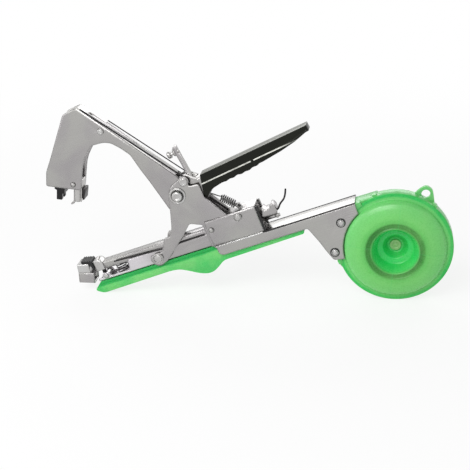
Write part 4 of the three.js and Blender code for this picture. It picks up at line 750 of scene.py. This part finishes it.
def makeReturnSpring(values):
    # a hook round the pin, a straight run, a helix (a circle that advances along the line), a run, a hook
    start, end = np.array(values["start"]), np.array(values["end"])
    span = np.linalg.norm(end - start)
    along = (end - start) / span
    rise, across = np.array([-along[2], 0, along[0]]), np.array([0.0, 1, 0])
    pinHook, studHook, count = values["pinHook"], values["studHook"], values["hookSteps"]

    def local(u, v, w):
        return start + np.outer(u, along) + np.outer(v, rise) + np.outer(w, across)

    angle = np.linspace(*values["pinArc"], count) * math.pi
    hook = local(pinHook * np.cos(angle), pinHook * np.sin(angle), angle * 0)
    (leadStart, outEnd), (leadEnd, outStart) = values["hookRuns"], values["coilRuns"]
    aside = values["aside"]
    lead = local([pinHook * leadStart, values["coilStart"] - leadEnd], [aside[0], 0], [0, 0])
    turn = np.linspace(0, values["turns"] * 2 * math.pi, values["turns"] * values["turnSteps"])
    opening = np.minimum(turn, turn[-1] - turn) / (values["opening"] * 2 * math.pi) + values["firstCoil"]
    radius = values["coil"] * np.clip(opening, 0, 1)
    helix = local(values["coilStart"] + values["pitch"] * turn / (2 * math.pi),
                  radius * np.cos(turn), radius * np.sin(turn))
    coilEnd = values["coilStart"] + values["turns"] * values["pitch"]
    out = local([coilEnd + outStart, span - studHook * outEnd], [aside[1], 0], [0, 0])
    angle = np.linspace(*values["studArc"], count) * math.pi
    loop = end + studHook * np.stack([np.cos(angle), -np.sin(angle), angle * 0], 1)
    points = np.concatenate([hook, lead, helix, out, loop])
    radial = np.outer(np.cos(turn), rise) + np.outer(np.sin(turn), across)
    guides = np.concatenate([np.repeat([across], count, 0), [across, rise], radial, [rise, [0, 0, 1]],
                             np.repeat([[0, 0, 1]], count, 0)])
    points, guides = smoothPath(points, guides, values["step"], 2)
    points = tube(points, guides, values["wire"], 10)
    piece = addPiece("returnCoil", points, "spring", None, ["return_spring"], 60, capped=True)
    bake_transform(piece)


makeReturnSpring(springValues)

liftValues = {
    "place": 23.4, "coil": 5.25, "wire": 0.42, "low": 2.0, "high": 8.9,
    "turns": 4, "turnSteps": 36,
    "turnShares": [0, 0.16, 0.84, 1], "riseShares": [0, 0.06, 0.94, 1],
    "squashed": 0.5,
}


def makeLiftSpring(values):
    # a circle that climbs; the first and last turns lie nearly flat, as ground ends do
    place, coil, low = values["place"], values["coil"], values["low"]
    turn = np.linspace(0, 1, values["turns"] * values["turnSteps"])
    rise = np.interp(turn, values["turnShares"], values["riseShares"]) * (values["high"] - low)
    angle = turn * values["turns"] * 2 * math.pi
    guides = np.stack([np.cos(angle), np.sin(angle), angle * 0], 1)
    points = guides * coil + np.stack([angle * 0 + place, angle * 0, low + rise], 1)
    points = tube(points, guides, values["wire"], 10)
    piece = addPiece("liftCoil", points, "dark", "frame", ["lift_spring"], 60, capped=True)
    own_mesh(piece)


makeLiftSpring(liftValues)

pullValues = {
    "radius": 0.8, "from": 60.97, "to": 173.8, "level": 11.6, "reach": 12.4, "climb": 14.6,
    "hook": [(0, 0), (.12, .1), (.25, .25), (.42, .36), (.62, .46), (.78, .62), (.9, .8), (1, 1)],
    "steps": 60, "step": 0.7,
}


def makePullWire(values):
    # a straight run through the box, then the finger hook's bends, scaled by its reach and climb
    hook = np.array(values["hook"])
    run = np.linspace(values["from"], values["to"], values["steps"])[:-1]
    along = np.concatenate([run, values["to"] + hook[:, 0] * values["reach"]])
    up = np.concatenate([run * 0, hook[:, 1] * values["climb"]]) + values["level"]
    points = np.stack([along, along * 0, up], 1)
    points, guides = smoothPath(points, np.repeat([[0.0, 1, 0]], len(points), 0), values["step"], 2)
    points = tube(points, guides, values["radius"], 14)
    addPiece("pullRod", points, "dark", "pusher", ["pull_wire"], 60, capped=True)


makePullWire(pullValues)
print("springs and pull wire made")


# turned fasteners: where each stands, the seat of its near and far head, its shank, and the head's
# outline as (radius, height above the seat) from the centre outward, in shares of its size
domed = [(0, 1.0), (0.45, 1.0), (0.8, 0.75), (0.97, 0.35), (1, 0)]
ringed = [(0, 0.62), (0.42, 0.62), (0.5, 0.82), (0.62, 1.0), (0.84, 0.9), (0.97, 0.5), (1, 0)]
flatTop = [(0, 0.8), (0.66, 0.8), (0.72, 0.45), (0.78, 0.45), (0.84, 1.0), (0.95, 0.9), (1, 0.5), (1, 0)]
throughFrame = {"near": -10.5, "far": 10.5, "shank": 1.4, "height": 1.1, "head": flatTop}
legRivet = {"place": (60.4045, 5.2), "shank": 1.4, "radius": 4.9, "height": 1.1, "head": flatTop}
caseScrew = {**throughFrame, "shank": 1.5, "radius": 3.1}
fastenerValues = {
    "mainBoltTurned": {"node": "main_bolt", "place": mainBolt, "shank": 2.5, "near": -10.5, "tail": 13.0,
                       "radius": 4.6, "height": 2.2, "head": ringed},
    "handlePinTurned": {"node": "handle_pin", "place": handlePin, "shank": 2.0, "near": -9.3, "far": 9.3,
                        "radius": 3.9, "height": 1.3, "head": ringed},
    "boxRivetTurned": {**throughFrame, "node": "box_rivet", "place": (141.23, 18.9), "radius": 3.6},
    "tiltRivetTurned": {**throughFrame, "node": "magazine_pivot", "place": (115.2045, 14.9), "radius": 2.23,
                        "height": 0.37, "head": domed},
    "jawRivetTurned": {"node": "jaw_rivet", "place": (58.8045, 126.3), "shank": 1.3, "near": -7.6,
                       "far": 7.6, "radius": 2.8, "height": 1.1, "head": ringed, "body": "jaw"},
    "legRivetNearTurned": {**legRivet, "node": "leg_rivet_near", "near": -9.3, "tail": -6.1},
    "legRivetFarTurned": {**legRivet, "node": "leg_rivet_far", "far": 9.3, "tail": 6.1},
    "upperScrewTurned": {**caseScrew, "node": "case_screw_upper", "place": caseScrews["Upper"]},
    "lowerScrewTurned": {**caseScrew, "node": "case_screw_lower", "place": caseScrews["Lower"]},
}


def makeFastener(name, values):
    # the near head's outline, the straight shank, then the far head's outline mirrored; a side that has
    # no head ends in a plain tail
    def side(which, way):
        if which not in values:
            return np.array([(0, values["tail"]), (values["shank"], values["tail"])])
        head = np.array(values["head"]) * (values["radius"], way * values["height"])
        return np.concatenate([head + (0, values[which]), [(values["shank"], values[which])]])

    profile = np.concatenate([side("near", -1), side("far", 1)[::-1]])
    turnPiece(name, roundCorners(profile, 0.22, closed=False), values["place"], 44, "bright",
              values.get("body", "frame"), [values["node"]])


for name, values in fastenerValues.items():
    makeFastener(name, values)

washerValues = {
    "seat": 9.3, "cut": 0.2,
    "outline": [(2.8, 0), (2.8, 0.45), (5.0, 0.45), (6.2, 0.9), (7.0, 0.9), (7.3, 0.6), (7.3, 0)],
}


def makeWashers(values):
    # a dished ring: its outline is mirrored for the far side
    outline = np.array(values["outline"]) + (0, values["seat"])
    for name, side in (("Near", -1), ("Far", 1)):
        ring = asRing(roundCorners(outline * (1, side), values["cut"]))
        turnPiece("dishedWasher" + name, ring, mainBolt, 72, "bright", "frame", ["washer_" + name.lower()])


makeWashers(washerValues)

shadowRingValues = {
    "inner": 3.0, "outer": 4.0, "cut": 0.15,
    "seats": {"Near": (-10.7, -10.2), "Far": (10.2, 10.7)},
}


def makeShadowRings(values):
    # painted shade: flat dark rings under the case screws' heads, on both sides, for the shadow round each
    # head
    inner, outer = values["inner"], values["outer"]
    for name, place in caseScrews.items():
        for side, (low, high) in values["seats"].items():
            corners = [(inner, low), (outer, low), (outer, high), (inner, high)]
            ring = asRing(roundCorners(corners, values["cut"]))
            # a ring of painted shade
            turnPiece("gasket" + name + side, ring, place, 48, "pad", "frame", [])


makeShadowRings(shadowRingValues)

# thin tubes laid on the sheets as painted light and shade: dark ones are painted shade where a folded sheet
# turns or two sheets part, the pale one is a painted highlight along the rail's fold; the ends of each as
# (along, up), how far across it lies, its radius, its body and its finish
railLine = {"across": [-9.95, 9.95], "body": "frame", "finish": "dark"}
nearLine = {**railLine, "across": [-7.2]}
paintedLineValues = {
    "jawFoldLine": {**nearLine, "ends": [(50.3, 149.2), (111.0, 65.2)], "across": [-6.85], "radius": 0.72,
                    "body": "jaw"},
    "jawFarLine": {**nearLine, "ends": [(64.0, 130.3), (111.0, 65.2)], "across": [6.85], "radius": 0.5,
                   "body": "jaw"},
    "railFoldLine": {**railLine, "ends": [(157.0, -0.75), (238.0, -0.75)], "radius": 0.6},
    # painted highlight along the rail's fold
    "railBrightLine": {**railLine, "ends": [(113.0, -0.75), (156.5, -0.75)], "radius": 0.75,
                       "finish": "bright"},
    "baseSlotLine": {**nearLine, "ends": [(21.0, 14.2), (66.5, 11.5)], "radius": 0.55},
    "postInnerLine": {**nearLine, "ends": [(121.0, 37.3), (130.8, 23.4)], "across": [7.2], "radius": 0.95},
    "postFootLine": {**nearLine, "ends": [(83.5, 12.0), (107.0, 12.4)], "radius": 0.62},
}


def makePaintedLine(name, values, steps=40):
    # a thin straight tube, half sunk in the sheet, for a painted line; a line on both sides is one piece of
    # two tubes
    (fromAlong, fromUp), (toAlong, toUp) = values["ends"]
    guides = np.repeat([[0.0, 1, 0]], steps, 0)
    lines = [np.linspace((fromAlong, across, fromUp), (toAlong, across, toUp), steps)
             for across in values["across"]]
    points = np.stack([tube(line, guides, values["radius"]) for line in lines])
    addPiece(name, points, values["finish"], values["body"], [], 50, capped=True)


# painted shade lines and one painted highlight line
for name, values in paintedLineValues.items():
    makePaintedLine(name, values)
print("fasteners, washers and fold lines made")


frontValues = {
    "capBlock": {
        "corners": [(-15.3, 13.9), (-13.6, 21.5), (-3.3, 18.9), (-4.6, 10.7)],
        "half": 7.2, "cut": 0.5, "inset": 0.05, "soft": 0.35, "finish": "bright", "stands": ["guide_cap"],
    },
    "toothedPad": {
        "corners": [(-9.6, 20.6), (-9.3, 23.0), (-8.2, 22.1), (-7.4, 22.7), (-6.3, 21.6), (-5.4, 22.2),
                    (-4.3, 21.2), (-3.4, 21.7), (-2.3, 20.6), (-1.3, 21.1), (-0.2, 20.2), (0.5, 12.3),
                    (-1.7, 12.1), (-2.9, 18.9)],
        "half": 5.8, "cut": 0.25, "inset": 0, "soft": 0.35, "finish": "pad", "stands": ["tape_pad"],
    },
}


def makeFront(name, values):
    # a rounded side outline carried straight across, and drawn in towards its middle at both sides
    outline = roundCorners(values["corners"], values["cut"], 5)
    half, soft, inset = values["half"], values["soft"], values["inset"]
    scale = np.array([1 - inset, 1, 1, 1 - inset])[:, None, None]
    drawn = outline.mean(0) + (outline - outline.mean(0)) * scale
    across = np.repeat([[-half], [soft - half], [half - soft], [half]], len(outline), 1)
    points = onTable(np.stack([drawn[..., 0], across, drawn[..., 1]], -1))
    addPiece(name, points, values["finish"], "frame", values["stands"], capped=True)


for name, values in frontValues.items():
    makeFront(name, values)
print("front guide's cap and pad made")


finishOf = {
    "base": ["base_channel"],
    "steel": ["post_plate_near", "post_plate_far", "rear_box", "rail", "jaw_arm", "handle_lever",
              "magazine_channel", "magazine_cover", "front_guide", "catch_clip", "staple_pusher",
              "magazine_block", "box_seal_far"],
    "bright": ["main_nut", "rear_rod", "front_rivet", "anvil", "clip_pin", "drive_pin", "spring_pin",
               "stop_screw", "stop_nut", "magazine_nose", "staple_strip", "spring_stud", "cutter_holder"],
    "dark": ["rod_holder", "driver_blade", "cutter_blade", "tape_catch"],
    # the near strip at the box's rear end takes the black finish, so that a dark line shows there
    "pad": ["box_seal_near"],
    "green": ["under_grip"],
    "case": ["reel_case"],
}

easeValues = {
    "width": 0.16, "segments": 2,
    "weld": 0.004,  # corners closer than this become one
    "flat": 0.6,  # faces that differ by fewer degrees than this are joined
    "sharp": 32,  # edges that turn by more degrees than this are rounded
}


def ease(node, values):
    # merged, its flat faces joined, and every edge given a small round that catches the light
    smoothFaces(node.data)
    weld = node.modifiers.new("weld", "WELD")
    weld.merge_threshold = values["weld"] * mm
    flat = node.modifiers.new("flat", "DECIMATE")
    flat.decimate_type = "DISSOLVE"
    flat.angle_limit = math.radians(values["flat"])
    bevel = node.modifiers.new("bevel", "BEVEL")
    bevel.width = values["width"] * mm
    bevel.segments = values["segments"]
    bevel.limit_method = "ANGLE"
    bevel.angle_limit = math.radians(values["sharp"])
    bevel.harden_normals = True
    bevel.miter_outer = "MITER_ARC"


for finish, names in finishOf.items():
    for name in names:
        mesh = nodes[name].data
        mesh.materials.clear()
        mesh.materials.append(finishes[finish])
        ease(nodes[name], easeValues)
print("carried-over nodes finished")


stageValues = {
    "floorSize": 6.0,
    "floorColour": (250, 250, 250), "floorRoughness": 0.9,
    "seen": 0.8,  # how much of the plain white shows over the lit floor near the tool
    "fade": (0.2, 0.9),  # between these distances the floor turns wholly plain
    "world": 0.42,
}


def flatSheet(name, width, low, high, level, material):
    # a level rectangle: width is left to right, low and high are its front and back
    half = width / 2
    corners = [(-half, low, level), (half, low, level), (half, high, level), (-half, high, level)]
    mesh = bpy.data.meshes.new(name)
    mesh.from_pydata(corners, [], [(0, 1, 2, 3)])
    mesh.materials.append(material)
    sheet = bpy.data.objects.new(name, mesh)
    scene.collection.objects.link(sheet)
    return sheet


def makeFloor(values):
    # a matt floor under plain white, which turns wholly white with distance from the tool
    made = Finish("floorPaint")
    paint, glow = made.shader, made.node("Emission")
    made.plug(paint, {"Base Color": colour(*values["floorColour"]), "Roughness": values["floorRoughness"]})
    plain = made.spread(made.distance(made.place), *values["fade"], values["seen"])
    sockets = {0: made.times(made.plainRays(), plain), 1: paint.outputs[0], 2: glow.outputs[0]}
    mix = made.node("MixShader", sockets)
    made.plug(made.tree.nodes["Material Output"], {0: mix.outputs[0]})
    size = values["floorSize"]
    flatSheet("floor", size, -size / 2, size / 2, 0, made.material)


def makeWorld(values):
    # white where it is seen directly, and weaker as a light
    world = bpy.data.worlds.new("world")
    world.use_nodes = True
    made = Wiring(world.node_tree)
    level = made.spread(made.plainRays(), 0.0, 1.0, values["world"])
    made.plug(made.tree.nodes["Background"], {"Color": (1, 1, 1, 1), "Strength": level})
    scene.world = world


lampValues = {
    "back": {"place": (0.1, 1.25, 0.62), "size": (1.7, 0.5), "power": 6.0},
    "front": {"place": (-0.35, -0.85, 0.95), "size": (0.9, 0.6), "power": 9.0},
    "side": {"place": (-1.1, -0.3, 0.5), "size": (0.5, 0.8), "power": 2.5},
}


def makeLamps(values):
    for name, each in values.items():
        data = bpy.data.lights.new(name, "AREA")
        data.shape = "RECTANGLE"
        data.size, data.size_y = each["size"]
        data.energy = each["power"]
        lamp = bpy.data.objects.new(name, data)
        lamp.location = each["place"]
        aim = Vector(cameraValues["target"]) - Vector(each["place"])
        lamp.rotation_euler = aim.to_track_quat("-Z", "Y").to_euler()
        lamp.visible_camera = False
        scene.collection.objects.link(lamp)


cardValues = {
    "overhead": {"width": 2.4, "from": -0.30, "to": 0.12, "height": 1.0, "shade": (40, 40, 42)},
}


def makeCards(values):
    # dark cards that only reflections see, so that polished bends keep a dark line between two pale ones
    for name, each in values.items():
        made = Finish(name + "Card")
        made.plug(made.shader, {"Base Color": colour(*each["shade"]), "Roughness": 1.0,
                                "Specular IOR Level": 0.0})
        card = flatSheet(name, each["width"], each["from"], each["to"], each["height"], made.material)
        for seen in ("visible_camera", "visible_diffuse", "visible_shadow", "visible_transmission"):
            setattr(card, seen, False)


makeFloor(stageValues)
makeWorld(stageValues)
makeLamps(lampValues)
makeCards(cardValues)
print("stage, world and lamps made")
